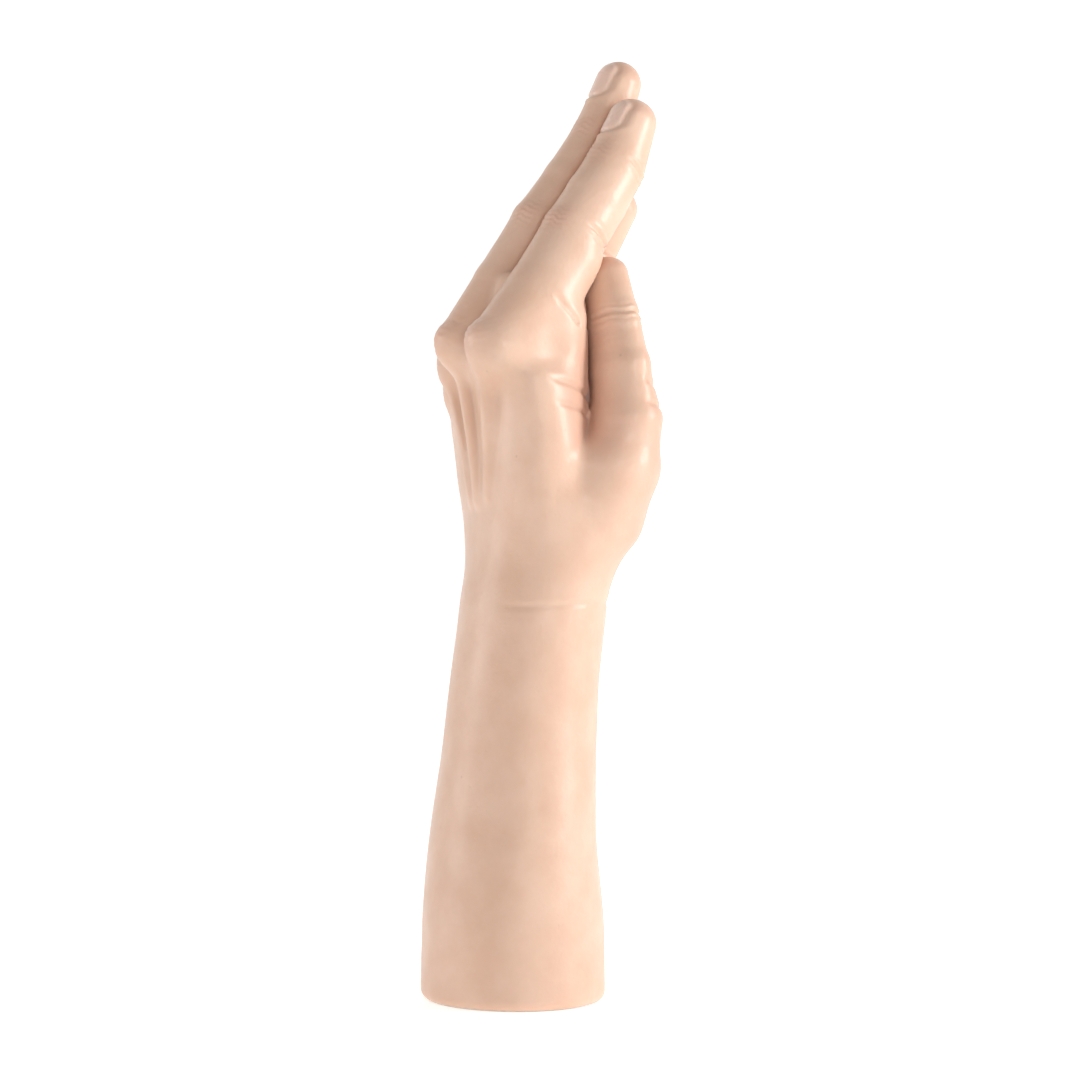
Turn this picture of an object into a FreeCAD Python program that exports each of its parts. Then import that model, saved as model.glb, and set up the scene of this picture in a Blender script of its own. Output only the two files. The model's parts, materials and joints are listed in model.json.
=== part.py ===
"""Passive prosthetic hand with its forearm, standing on a flat base. Left hand, fingers drawn together.

A soft moulded glove covers everything. Inside it an aluminium tube stands on a base plate and carries
a turning wrist; the wrist carries a U-shaped hand frame; a casting with four finger rods is hinged on
the frame's knuckle axle, and a lever with the thumb's rod on a bracket beside it.

Frame: millimetres, +Z up along the tube, origin on the tube's axis at the base face.
+X is the palm side, -X the back of the hand, -Y the thumb side, +Y the little-finger side.
"""

import FreeCAD, Part
import math
import os

import Sketcher

V = FreeCAD.Vector
X_AXIS, Y_AXIS, Z_AXIS = V(1, 0, 0), V(0, 1, 0), V(0, 0, 1)

# ---------------------------------------------------------------- driving sizes

SIZES = [
    # outside of the forearm and palm: depth is along X, breadth along Y, shift is the middle's X
    ("forearm_length", 128.0, "base face to the wrist plane"),
    ("base_depth", 56.6, ""),
    ("base_breadth", 64.0, ""),
    ("base_shift", -3.6, ""),
    ("mid_depth", 49.0, "halfway up the forearm"),
    ("mid_breadth", 54.0, ""),
    ("mid_shift", -2.6, ""),
    ("wrist_depth", 44.6, ""),
    ("wrist_breadth", 57.0, ""),
    ("wrist_shift", 3.2, ""),
    ("palm_length", 78.0, "wrist plane to the knuckle axle"),
    ("heel_depth", 41.0, "heel of the hand"),
    ("heel_breadth", 57.0, ""),
    ("palm_depth", 33.0, ""),
    ("palm_breadth", 69.0, ""),
    ("palm_shift", -3.2, ""),
    ("knuckle_depth", 34.0, ""),
    ("knuckle_breadth", 68.0, ""),
    ("knuckle_shift", -8.0, ""),
    ("knuckle_side", 3.0, "the knuckles' middle, along Y"),
    ("glove_wall", 2.0, "thickness of the glove"),
    ("hem_radius", 1.8, "rounding of the glove's lower edge"),
    ("soft_gap", 0.3, "between soft pieces"),
    ("running_gap", 0.05, "radial gap of a pin in its bush"),
    ("plain_gap", 0.1, "radial gap round a fixed shaft or screw"),
    # base
    ("plate_thickness", 5.0, ""),
    ("flange_radius", 22.0, ""),
    ("flange_thickness", 4.0, ""),
    ("sleeve_wall", 2.5, ""),
    ("sleeve_length", 21.0, ""),
    ("thread_radius", 3.4, "core of an M8 thread"),
    ("insert_radius", 6.0, ""),
    ("insert_length", 12.0, ""),
    ("base_screw_circle", 17.5, "radius of the circle of base screws"),
    ("screw_radius", 2.0, "M4"),
    ("small_screw_radius", 1.5, "M3"),
    # tube and wrist
    ("tube_radius", 11.0, ""),
    ("tube_wall", 1.5, ""),
    ("housing_length", 14.0, "wrist housing above the tube"),
    ("housing_radius", 14.0, ""),
    ("spigot_length", 12.0, "wrist housing inside the tube"),
    ("washer_thickness", 1.0, ""),
    ("pivot_radius", 5.0, ""),
    ("bush_wall", 1.5, ""),
    ("pivot_flange_radius", 15.0, ""),
    ("pivot_flange_thickness", 4.0, ""),
    ("frame_screw_circle", 9.0, "radius of the circle of frame screws"),
    # hand frame and knuckle axle
    ("frame_gap", 20.0, "between the frame's cheeks"),
    ("frame_sheet", 3.0, ""),
    ("web_thickness", 4.0, ""),
    ("axle_x", -12.0, "knuckle axle"),
    ("axle_radius", 2.5, "M5 shoulder bolt"),
    ("boss_radius", 6.0, ""),
    ("socket_radius", 5.5, "finger sockets of the carrier"),
    ("link_radius", 3.4, ""),
    ("hub_radius", 5.5, ""),
    ("lug_width", 4.0, "stop lug below the hub"),
    ("pin_radius", 1.5, "stop pins"),
    ("pin_reach", 8.5, "stop pins from the axle"),
    ("spring_wire", 1.2, "diameter of the return spring's wire"),
    ("spring_turns", 4.0, ""),
    ("spring_room", 7.2, "beside the hub, for the return spring"),
    ("side_play", 0.2, "between the hub and the frame's cheek"),
    ("rod_radius", 1.5, "finger and thumb rods"),
    ("socket_start", 17.0, "along the finger from its root"),
    ("socket_length", 13.0, ""),
    ("finger_opening", 20.0, "degrees"),
    ("opening_clearance", 3.0, "degrees left at full opening"),
    # thumb
    ("thumb_x", 23.0, "thumb axle"),
    ("thumb_rise", 55.0, "thumb axle above the wrist plane"),
    ("thumb_y", -16.5, "middle of the ball of the thumb"),
    ("thenar_radius", 14.5, ""),
    ("thumb_radius", 11.8, ""),
    ("thumb_length", 51.0, ""),
    ("thumb_lean", -2.6, "degrees, towards the palm side"),
    ("thumb_splay", 16.0, "degrees, towards the little finger"),
    ("thumb_axle_radius", 2.0, "M4 shoulder bolt"),
    ("lever_hub_length", 6.6, ""),
    ("thumb_opening", 20.0, "degrees"),
    ("split_tilt", 15.0, "degrees the split at the knuckles falls towards the palm"),
]

# root_x and root_z are measured from the knuckle axle; lean is towards the palm, splay towards +Y
FINGERS = {
    "index": dict(root_x=-1.3, root_y=-20.0, root_z=1.0, length=92.3, lean=30.2, splay=5.4, breadth=19.0, depth=22.0),
    "middle": dict(root_x=-8.0, root_y=-2.0, root_z=2.0, length=104.9, lean=30.3, splay=2.4, breadth=19.0, depth=22.0),
    "ring": dict(root_x=-4.0, root_y=14.0, root_z=-1.0, length=90.5, lean=34.3, splay=-1.4, breadth=18.0, depth=20.5),
    "little": dict(root_x=2.5, root_y=27.0, root_z=-7.0, length=73.3, lean=37.9, splay=-9.5, breadth=16.0, depth=18.0),
}
for finger, values in FINGERS.items():
    SIZES += [(f"{finger}_{key}", value, "") for key, value in values.items()]

doc = FreeCAD.newDocument("passive_hand")
sheet = doc.addObject("Spreadsheet::Sheet", "d")
for row, (alias, value, note) in enumerate(SIZES, start=1):
    sheet.set(f"A{row}", alias)
    sheet.set(f"B{row}", str(value))
    sheet.set(f"C{row}", note)
    sheet.setAlias(f"B{row}", alias)
doc.recompute()


def d(expression):
    """Value of an expression over the sheet's cells, such as d("tube_radius")."""
    value = sheet.evalExpression(expression)
    return float(getattr(value, "Value", value))


# ---------------------------------------------------------------- helpers

SUB_PARTS = []


def sub_part(label, obj):
    obj.Label = label
    SUB_PARTS.append(obj)
    return obj


def shape_part(label, shape):
    """A sub-part whose shape is worked out by Part's functions from the sheet."""
    feature = doc.addObject("Part::Feature", label)
    feature.Shape = shape
    return sub_part(label, feature)


def place(obj, at, axis="Z"):
    """Binds a primitive's position to the sheet and turns its own Z towards axis."""
    turn = {"Z": FreeCAD.Rotation(), "Y": FreeCAD.Rotation(X_AXIS, -90)}[axis]
    obj.Placement = FreeCAD.Placement(V(), turn)
    for letter, expression in zip("xyz", at):
        obj.setExpression(f"Placement.Base.{letter}", expression)
    return obj


def cylinder(name, radius, height, at=("0", "0", "0"), axis="Z"):
    obj = doc.addObject("Part::Cylinder", name)
    obj.setExpression("Radius", radius)
    obj.setExpression("Height", height)
    return place(obj, at, axis)


def cone(name, radius1, radius2, height, at=("0", "0", "0"), axis="Z"):
    obj = doc.addObject("Part::Cone", name)
    obj.setExpression("Radius1", radius1)
    obj.setExpression("Radius2", radius2)
    obj.setExpression("Height", height)
    return place(obj, at, axis)


def prism(name, radius, height, at, axis="Z"):
    obj = doc.addObject("Part::Prism", name)
    obj.Polygon = 6
    obj.setExpression("Circumradius", radius)
    obj.setExpression("Height", height)
    return place(obj, at, axis)


def fuse(name, *objects):
    obj = doc.addObject("Part::MultiFuse", name)
    obj.Shapes = list(objects)
    return obj


def cut(name, base, *tools):
    obj = doc.addObject("Part::Cut", name)
    obj.Base = base
    obj.Tool = tools[0] if len(tools) == 1 else fuse(name + "_tools", *tools)
    return obj


def group(label, objects):
    """Identical pieces that share one node, each a separate solid."""
    obj = doc.addObject("Part::Compound", label)
    obj.Links = objects
    return sub_part(label, obj)


def ring(label, outer, inner, height, at, axis="Z"):
    """A plain ring, washer or tube."""
    body = cylinder(label + "_outer", outer, height, at, axis)
    hole = cylinder(label + "_hole", inner, height, at, axis)
    return sub_part(label, cut(label, body, hole))


def origin_plane(body, role):
    return [f for f in body.Origin.OriginFeatures if f.Role == role][0]


def polygon_sketch(body, name, points, plane="XZ_Plane", offset="0"):
    """A closed outline on one of the body's own planes, each corner bound to two expressions."""
    sketch = body.newObject("Sketcher::SketchObject", name)
    sketch.AttachmentSupport = [(origin_plane(body, plane), "")]
    sketch.MapMode = "FlatFace"
    sketch.setExpression("AttachmentOffset.Base.z", offset)
    corners = [V(d(u), d(v), 0) for u, v in points]
    count = len(corners)
    for i in range(count):
        sketch.addGeometry(Part.LineSegment(corners[i], corners[(i + 1) % count]), False)
    for i in range(count):
        sketch.addConstraint(Sketcher.Constraint("Coincident", i, 2, (i + 1) % count, 1))
    for i, (u, v) in enumerate(points):
        for kind, axis_id, expression in (("DistanceX", -2, u), ("DistanceY", -1, v)):
            value = d(expression)
            if abs(value) < 1e-9:
                sketch.addConstraint(Sketcher.Constraint("PointOnObject", i, 1, axis_id))
            else:
                index = sketch.addConstraint(Sketcher.Constraint(kind, -1, 1, i, 1, value))
                sketch.setExpression(f"Constraints[{index}]", expression)
    return sketch


def circle_sketch(body, name, radius, centre, plane="XY_Plane", offset="0"):
    """A circle on one of the body's own planes, with its radius and centre bound to the sheet."""
    sketch = body.newObject("Sketcher::SketchObject", name)
    sketch.AttachmentSupport = [(origin_plane(body, plane), "")]
    sketch.MapMode = "FlatFace"
    sketch.setExpression("AttachmentOffset.Base.z", offset)
    middle = V(d(centre[0]), d(centre[1]), 0)
    sketch.addGeometry(Part.Circle(middle, Z_AXIS, d(radius)), False)
    index = sketch.addConstraint(Sketcher.Constraint("Radius", 0, d(radius)))
    sketch.setExpression(f"Constraints[{index}]", radius)
    for kind, axis_id, expression in (("DistanceX", -2, centre[0]), ("DistanceY", -1, centre[1])):
        value = d(expression)
        if abs(value) < 1e-9:
            sketch.addConstraint(Sketcher.Constraint("PointOnObject", 0, 3, axis_id))
        else:
            index = sketch.addConstraint(Sketcher.Constraint(kind, -1, 1, 0, 3, value))
            sketch.setExpression(f"Constraints[{index}]", expression)
    return sketch


def turned_body(label, rise, profile):
    """A PartDesign body turned about the tube's axis; profile is (radius, height) above rise."""
    body = doc.addObject("PartDesign::Body", label)
    sketch = polygon_sketch(body, label + "_profile", profile)
    turn = body.newObject("PartDesign::Revolution", label + "_turn")
    turn.Profile = sketch
    turn.ReferenceAxis = (sketch, ["V_Axis"])
    turn.Angle = 360
    body.setExpression("Placement.Base.z", rise)
    return sub_part(label, body)


def pocket_through(body, sketch, label, both_ways=True):
    """Cuts a sketch through the whole body and checks that it removed something."""
    doc.recompute()
    before = body.Shape.Volume
    hole = body.newObject("PartDesign::Pocket", label)
    hole.Profile = sketch
    hole.Type = "ThroughAll"
    hole.Midplane = both_ways
    doc.recompute()
    if not hole.Shape.Volume < before - 1e-6:
        raise RuntimeError(label + " cut nothing")
    return hole


def polar(body, feature, label, count, axis_role="Z_Axis"):
    pattern = body.newObject("PartDesign::PolarPattern", label)
    pattern.Originals = [feature]
    pattern.Axis = (origin_plane(body, axis_role), [""])
    pattern.Angle = 360
    pattern.Occurrences = count
    body.Tip = pattern
    return pattern


# ---------------------------------------------------------------- soft shapes


def oval(centre, half_x, half_y, along=Z_AXIS, side=Y_AXIS):
    """A closed oval wire round centre, square to along, half_y wide towards side, started at side."""
    across = side.cross(along).normalize()
    if abs(half_y - half_x) < 0.001:
        half_y = half_x + 0.001  # an ellipse proper, so that every section has the same form
    if half_y >= half_x:
        curve = Part.Ellipse(centre + side * half_y, centre - across * half_x, centre)
        start = 0.0
    else:
        curve = Part.Ellipse(centre + across * half_x, centre + side * half_y, centre)
        start = math.pi / 2
    return Part.Wire([curve.toShape(start, start + 2 * math.pi)])


def loft(wires):
    solid = Part.makeLoft(wires, True, False)
    if solid.Volume < 0:
        solid.reverse()
    return solid


def mix(a, b, share):
    return a + (b - a) * share


def forearm_section(share):
    """(middle x, half depth, half breadth) of the forearm at a share of its length."""
    keys = [(0.0, "base"), (0.14, "base"), (0.52, "mid"), (1.0, "wrist")]
    for (s0, k0), (s1, k1) in zip(keys, keys[1:]):
        if share <= s1:
            t = (share - s0) / (s1 - s0)
            t = t * t * (3 - 2 * t)
            depth = mix(d(k0 + "_depth"), d(k1 + "_depth"), t)
            breadth = mix(d(k0 + "_breadth"), d(k1 + "_breadth"), t)
            return mix(d(k0 + "_shift"), d(k1 + "_shift"), t), depth / 2, breadth / 2
    raise ValueError("share is above 1")


def forearm_solid(inset, bottom, top):
    """The forearm's outside, drawn in by inset, from height bottom to height top."""
    length = d("forearm_length")
    stations = [length * s for s in (0.14, 0.24, 0.33, 0.43, 0.52, 0.65, 0.8, 0.92)]
    heights = [bottom] + [z for z in stations if bottom + 1 < z < top - 1] + [top]
    wires = []
    for z in heights:
        x, rx, ry = forearm_section(min(1.0, max(0.0, z / length)))
        wires.append(oval(V(x, 0, z), rx - inset, ry - inset))
    return loft(wires)


def palm_sections():
    """(height above the wrist, middle x, middle y, half depth, half breadth) up the palm."""
    length = d("palm_length")
    side = d("knuckle_side")
    wrist = (0.0, d("wrist_shift"), 0.0, d("wrist_depth"), d("wrist_breadth"))
    heel = (0.18 * length, d("wrist_shift"), 0.0, d("heel_depth"), d("heel_breadth"))
    low = (
        0.35 * length,
        mix(d("wrist_shift"), d("palm_shift"), 0.38),
        0.2 * side,
        mix(d("heel_depth"), d("palm_depth"), 0.6),
        mix(d("heel_breadth"), d("palm_breadth"), 0.45),
    )
    palm = (0.67 * length, d("palm_shift"), 0.5 * side, d("palm_depth"), d("palm_breadth"))
    knuckle = (length, d("knuckle_shift"), side, d("knuckle_depth"), d("knuckle_breadth"))
    return [(z, x, y, depth / 2, breadth / 2) for z, x, y, depth, breadth in (wrist, heel, low, palm, knuckle)]


def palm_solid(inset, bottom, top):
    """The palm without the ball of the thumb, cut square at heights bottom and top."""
    wrist_z = d("forearm_length")
    first, *others = palm_sections()
    below = (first[0] - 2.0,) + first[1:]
    wires = [oval(V(x, y, wrist_z + z), rx - inset, ry - inset) for z, x, y, rx, ry in [below, first, *others]]
    last = palm_sections()[-1]
    beyond = V(last[1], last[2], wrist_z + last[0] + 2.0)
    wires.append(oval(beyond, last[3] - inset, last[4] - inset))
    return slab(bottom, top).common(loft(wires))


def thenar_solid(inset, top):
    """The ball of the thumb, up to height top."""
    wrist_z = d("forearm_length")
    rise = d("thumb_rise")
    radius = d("thenar_radius")
    x, y = d("thumb_x"), d("thumb_y")
    start = d("wrist_shift")
    stations = [  # share of the rise, share of the way out to the thumb axle's x, share of the radius
        (0.02, 0.30, 0.60),
        (0.28, 0.62, 0.92),
        (0.55, 0.86, 1.0),
        (0.78, 1.0, 1.0),
        (1.0, 1.03, 0.9),
        (1.1, 1.03, 0.86),
    ]
    wires = []
    for share, out, size in stations:
        centre = V(mix(start, x, out), y, wrist_z + share * rise)
        wires.append(oval(centre, size * radius - inset, size * radius - inset))
    return slab(0, top).common(loft(wires))


def slab(bottom, top, reach=200.0):
    """A block far wider than the hand between two heights."""
    return Part.makeBox(2 * reach, 2 * reach, top - bottom, V(-reach, -reach, bottom))


def half_space(point, degrees, reach=200.0):
    """Everything below a plane through point; the plane rises by degrees towards +X."""
    box = Part.makeBox(2 * reach, 2 * reach, reach, V(-reach, -reach, -reach))
    box.Placement = FreeCAD.Placement(point, FreeCAD.Rotation(Y_AXIS, -degrees))
    return box


class Digit:
    """A straight finger or thumb: its root, direction and the axes of its oval sections."""

    def __init__(self, root, lean, splay, length, breadth, depth, stations):
        lean, splay = math.radians(lean), math.radians(splay)
        self.root = root
        self.along = V(math.sin(lean) * math.cos(splay), math.sin(splay), math.cos(lean) * math.cos(splay))
        self.side = (Y_AXIS - self.along * Y_AXIS.dot(self.along)).normalize()
        self.front = self.side.cross(self.along).normalize()
        self.length, self.breadth, self.depth = length, breadth, depth
        self.stations = stations

    def at(self, distance):
        return self.root + self.along * distance

    def solid(self, inset, start=None):
        """The digit's outside drawn in by inset, from a distance along it, or from its first station."""
        smallest = 1.2
        stretch = (self.length - inset) / self.length
        wires = []
        for share, wide, deep in self.stations:
            half_wide = self.breadth / 2 * wide - inset
            half_deep = self.depth / 2 * deep - inset
            if inset and min(half_wide, half_deep) < smallest:
                continue
            where = self.at(share * stretch * self.length)
            wires.append(oval(where, half_deep, half_wide, self.along, self.side))
        whole = loft(wires)
        if start is None:
            return whole
        block = Part.makeBox(120, 120, 200, V(-60, -60, 0))
        turn = FreeCAD.Rotation(Z_AXIS, self.along)
        block.Placement = FreeCAD.Placement(self.at(start), turn)
        return whole.common(block)

    def bar(self, radius, start, end):
        return Part.makeCylinder(radius, end - start, self.at(start), self.along)

    def cross_bar(self, radius, distance, inner, outer):
        """A bar square to the digit on its back, such as a set screw."""
        back = self.front * -1
        return Part.makeCylinder(radius, outer - inner, self.at(distance) + back * inner, back)


# share of the length, share of the breadth, share of the depth
FINGER_STATIONS = [
    (-0.10, 1.06, 1.04), (0.0, 1.06, 1.06), (0.16, 1.04, 1.10), (0.32, 1.0, 1.12), (0.48, 1.0, 0.98),
    (0.62, 0.95, 0.92), (0.75, 0.93, 0.87), (0.86, 0.90, 0.80), (0.94, 0.74, 0.64), (0.985, 0.44, 0.38),
    (1.0, 0.16, 0.14),
]  # fmt: skip
THUMB_STATIONS = [
    (-0.2, 1.02, 1.02), (0.0, 1.0, 1.0), (0.2, 0.92, 0.92), (0.4, 0.84, 0.84), (0.6, 0.82, 0.82),
    (0.75, 0.78, 0.76), (0.88, 0.64, 0.60), (0.96, 0.40, 0.36), (1.0, 0.14, 0.12),
]  # fmt: skip

AXLE = V(d("axle_x"), 0, d("forearm_length") + d("palm_length"))
THUMB_AXLE = V(d("thumb_x"), 0, d("forearm_length") + d("thumb_rise"))


def finger(name):
    """The finger of that name, with its sizes from the sheet."""
    value = {key: d(f"{name}_{key}") for key in FINGERS[name]}
    root = AXLE + V(value["root_x"], value["root_y"], value["root_z"])
    return Digit(
        root, value["lean"], value["splay"], value["length"], value["breadth"], value["depth"], FINGER_STATIONS
    )


DIGITS = {name: finger(name) for name in FINGERS}
THUMB = Digit(
    V(d("thumb_x"), d("thumb_y") + 1.0, THUMB_AXLE.z + 4.5),
    d("thumb_lean"), d("thumb_splay"), d("thumb_length"),
    2 * d("thumb_radius"), 2 * d("thumb_radius"), THUMB_STATIONS,
)  # fmt: skip


def bar_between(a, b, radius):
    return Part.makeCylinder(radius, (b - a).Length, a, b - a)



# ---------------------------------------------------------------- forearm

wall, gap = d("glove_wall"), d("soft_gap")
wrist_z = d("forearm_length")
plate_top = d("plate_thickness")
flange_top = plate_top + d("flange_thickness")
housing_top = "d.forearm_length - d.washer_thickness"
tube_top = "(d.forearm_length - d.washer_thickness - d.housing_length)"


def ring_of(count, radius, make, first=0.0):
    """Pieces round the tube's axis; make gets the number, cosine and sine expressions of each angle."""
    pieces = []
    for k in range(count):
        angle = first + 360.0 * k / count
        pieces.append(make(k, f"({radius} * cos({angle} deg))", f"({radius} * sin({angle} deg))"))
    return pieces


def make_base_plate():
    """The stiff plate that closes the glove's lower end, holed for the insert and four screws."""
    plate = slab(0, plate_top).common(forearm_solid(wall + gap, 0, plate_top + 30))
    tools = [Part.makeCylinder(d("insert_radius"), plate_top)]
    shank = d("screw_radius + plain_gap")
    for angle in range(45, 360, 90):
        spot = FreeCAD.Rotation(Z_AXIS, angle).multVec(V(d("base_screw_circle"), 0, 0))
        tools.append(Part.makeCylinder(shank, plate_top, spot))
        tools.append(Part.makeCone(2 * shank, shank, shank, spot))
    return shape_part("base_plate", plate.cut(tools))


def make_base_screw(k, x, y):
    """Countersunk screw, flush with the base face, up into the flange."""
    at = (x, y, "0")
    shank = cylinder(f"base_shank_{k}", "d.screw_radius", "d.plate_thickness + d.flange_thickness", at)
    head = cone(f"base_head_{k}", "2 * d.screw_radius", "d.screw_radius", "d.screw_radius", at)
    recess = prism(f"base_hex_{k}", "0.6 * d.screw_radius", "0.8 * d.screw_radius", at)
    return cut(f"base_screw_{k}", fuse(f"base_screw_blank_{k}", shank, head), recess)


def make_base_flange():
    """Turned flange with the tube's sleeve, screwed to the plate; four screw holes."""
    sleeve = "d.tube_radius + d.sleeve_wall"
    bore = "d.tube_radius"
    top = "d.flange_thickness + d.sleeve_length"
    body = turned_body("base_flange", "d.plate_thickness", [
        ("d.insert_radius", "0"), ("d.flange_radius", "0"), ("d.flange_radius", "d.flange_thickness"),
        (sleeve + " + 2", "d.flange_thickness"), (sleeve, "d.flange_thickness + 2"), (sleeve, top),
        (bore, top), (bore, "d.flange_thickness"), ("d.insert_radius", "d.flange_thickness"),
    ])  # fmt: skip
    offset = ("d.base_screw_circle * cos(45 deg)", "d.base_screw_circle * sin(45 deg)")
    sketch = circle_sketch(body, "base_flange_hole", "d.screw_radius", offset)
    hole = pocket_through(body, sketch, "base_flange_holes")
    polar(body, hole, "base_flange_pattern", 4)
    return body


def side_screw(name, radius, inner, outer, height, side):
    """A set screw along X, from one radius out to another, on the side given by +1 or -1."""
    body = cylinder(name + "_shank", radius, f"{outer} - ({inner})", ("0", "0", "0"))
    body.Placement = FreeCAD.Placement(V(), FreeCAD.Rotation(Y_AXIS, 90 * side))
    body.setExpression("Placement.Base.x", f"{side} * ({inner})")
    body.setExpression("Placement.Base.z", height)
    recess = prism(name + "_hex", f"0.55 * {radius}", f"0.9 * {radius}", ("0", "0", "0"))
    recess.Placement = FreeCAD.Placement(V(), FreeCAD.Rotation(Y_AXIS, -90 * side))
    recess.setExpression("Placement.Base.x", f"{side} * ({outer})")
    recess.setExpression("Placement.Base.z", height)
    return cut(name, body, recess)


def side_hole(body, label, radius, height):
    """A hole along X, right through the walls of a body turned about the tube's axis."""
    sketch = circle_sketch(body, label + "_circle", radius, ("0", height), "YZ_Plane")
    return pocket_through(body, sketch, label)


def make_forearm():
    make_base_plate()
    insert = ring("base_insert", "d.insert_radius", "d.thread_radius", "d.insert_length", ("0", "0", "0"))
    flange = make_base_flange()
    screw_height = "0.65 * d.sleeve_length"
    side_hole(flange, "tube_screw_holes", "d.screw_radius", "d.flange_thickness + " + screw_height)
    group("base_screws", ring_of(4, "d.base_screw_circle", make_base_screw, first=45))
    level = "d.plate_thickness + d.flange_thickness + " + screw_height
    outer = "(d.tube_radius + d.sleeve_wall)"
    group("tube_screws", [
        side_screw(f"tube_screw_{k}", "d.screw_radius", "d.tube_radius", outer, level, side)
        for k, side in enumerate((-1, 1))
    ])  # fmt: skip
    start = "d.plate_thickness + d.flange_thickness"
    ring("forearm_tube", "d.tube_radius", "d.tube_radius - d.tube_wall",
         f"{tube_top} - ({start})", ("0", "0", start))  # fmt: skip
    make_wrist_housing()
    make_forearm_soft()
    return insert


def make_wrist_housing():
    """Turned housing pressed into the tube, with the sleeve the wrist turns in and its two screws."""
    bore = "d.pivot_radius + d.bush_wall"
    spigot = "d.tube_radius - d.tube_wall"
    body = turned_body("wrist_housing", tube_top, [
        (bore, "-d.spigot_length"), (spigot, "-d.spigot_length"), (spigot, "0"), ("d.housing_radius", "0"),
        ("d.housing_radius", "d.housing_length"), (bore, "d.housing_length"),
    ])  # fmt: skip
    side_hole(body, "friction_screw_holes", "d.small_screw_radius", "0.5 * d.housing_length")
    group("friction_screws", [
        side_screw(f"friction_screw_{k}", "d.small_screw_radius", bore, "d.housing_radius",
                   f"{tube_top} + 0.5 * d.housing_length", side)
        for k, side in enumerate((-1, 1))
    ])  # fmt: skip
    ring("friction_sleeve", bore, "d.pivot_radius + d.running_gap",
         "d.housing_length + d.spigot_length", ("0", "0", f"{tube_top} - d.spigot_length"))  # fmt: skip
    ring("thrust_washer", "d.housing_radius - 1", "d.pivot_radius + d.running_gap + 0.3",
         "d.washer_thickness", ("0", "0", housing_top))  # fmt: skip


def make_forearm_soft():
    """The glove's forearm zone and the foam between it and the metal."""
    top = wrist_z - gap
    outside = forearm_solid(0, 0, top)
    inside = forearm_solid(wall, -1, top + 1)
    glove = outside.cut(inside)
    rim = max((edge for edge in glove.Edges if edge.BoundBox.ZMax < 0.1), key=lambda edge: edge.Length)
    shape_part("glove_forearm", glove.makeFillet(d("hem_radius"), [rim]))
    foam = forearm_solid(wall + gap, plate_top + gap, top)
    tube = Part.makeCylinder(d("tube_radius + plain_gap"), wrist_z)
    sleeve = Part.makeCylinder(d("tube_radius + sleeve_wall + 2") + gap, d("flange_thickness + sleeve_length"))
    sleeve.translate(V(0, 0, plate_top + gap))
    flange = Part.makeCylinder(d("flange_radius") + gap, flange_top + gap)
    housing = Part.makeCylinder(d("housing_radius + plain_gap"), wrist_z, V(0, 0, d(tube_top) - gap))
    shape_part("forearm_foam", foam.cut([tube, sleeve, flange, housing]))


# ---------------------------------------------------------------- hand: frame, wrist pivot, axles

FRAME_SIDE = "(d.frame_gap / 2 + d.frame_sheet)"  # distance of the frame's outer faces from the middle
OUTLINE_LOW = [
    ("-0.8 * d.pivot_flange_radius", "d.pivot_flange_thickness"),
    ("0.8 * d.pivot_flange_radius", "d.pivot_flange_thickness"),
    ("0.8 * d.pivot_flange_radius", "3.5 * d.pivot_flange_thickness"),
]
OUTLINE_THUMB = [
    ("d.thumb_x + 0.9 * d.boss_radius", "d.thumb_rise - 1.8 * d.boss_radius"),
    ("d.thumb_x + 0.9 * d.boss_radius", "d.thumb_rise + 0.4 * d.boss_radius"),
    ("d.thumb_x + 0.4 * d.boss_radius", "d.thumb_rise + 0.9 * d.boss_radius"),
    ("d.thumb_x - 0.4 * d.boss_radius", "d.thumb_rise + 0.9 * d.boss_radius"),
    ("d.thumb_x - 1.4 * d.boss_radius", "d.thumb_rise - 0.1 * d.boss_radius"),
]
OUTLINE_HIGH = [
    ("d.axle_x + 2.1 * d.boss_radius", "0.45 * d.palm_length"),
    ("d.axle_x + 1.3 * d.boss_radius", "d.palm_length - 2.6 * d.boss_radius"),
    ("d.axle_x + 1.3 * d.boss_radius", "d.palm_length - 0.8 * d.boss_radius"),
    ("d.axle_x + 0.9 * d.boss_radius", "d.palm_length + 0.4 * d.boss_radius"),
    ("d.axle_x + 0.4 * d.boss_radius", "d.palm_length + 0.9 * d.boss_radius"),
    ("d.axle_x - 0.4 * d.boss_radius", "d.palm_length + 0.9 * d.boss_radius"),
    ("d.axle_x - 0.9 * d.boss_radius", "d.palm_length + 0.4 * d.boss_radius"),
    ("d.axle_x - 1.05 * d.boss_radius", "d.palm_length - 1.8 * d.boss_radius"),
    ("d.axle_x - 0.5 * d.boss_radius", "0.74 * d.palm_length"),
]


def stop_pin_spots(reach, half_lug, pin, opening, towards):
    """(x, z) from the axle of the two pins a lug hanging from its hub comes to rest against.

    towards is the sense of x in which the lug swings as the hinge opens.
    """
    aside = half_lug + pin + 0.05
    turn = math.radians(opening)
    closed = (-towards * aside, -reach)
    opened = (
        towards * (aside * math.cos(turn) + reach * math.sin(turn)),
        aside * math.sin(turn) - reach * math.cos(turn),
    )
    return [closed, opened]


KNUCKLE_PINS = stop_pin_spots(d("pin_reach"), d("lug_width") / 2, d("pin_radius"), d("finger_opening"), 1)
THUMB_PINS = stop_pin_spots(
    0.85 * d("pin_reach"), 0.375 * d("lug_width"), 0.8 * d("pin_radius"), d("thumb_opening"), -1
)


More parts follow.
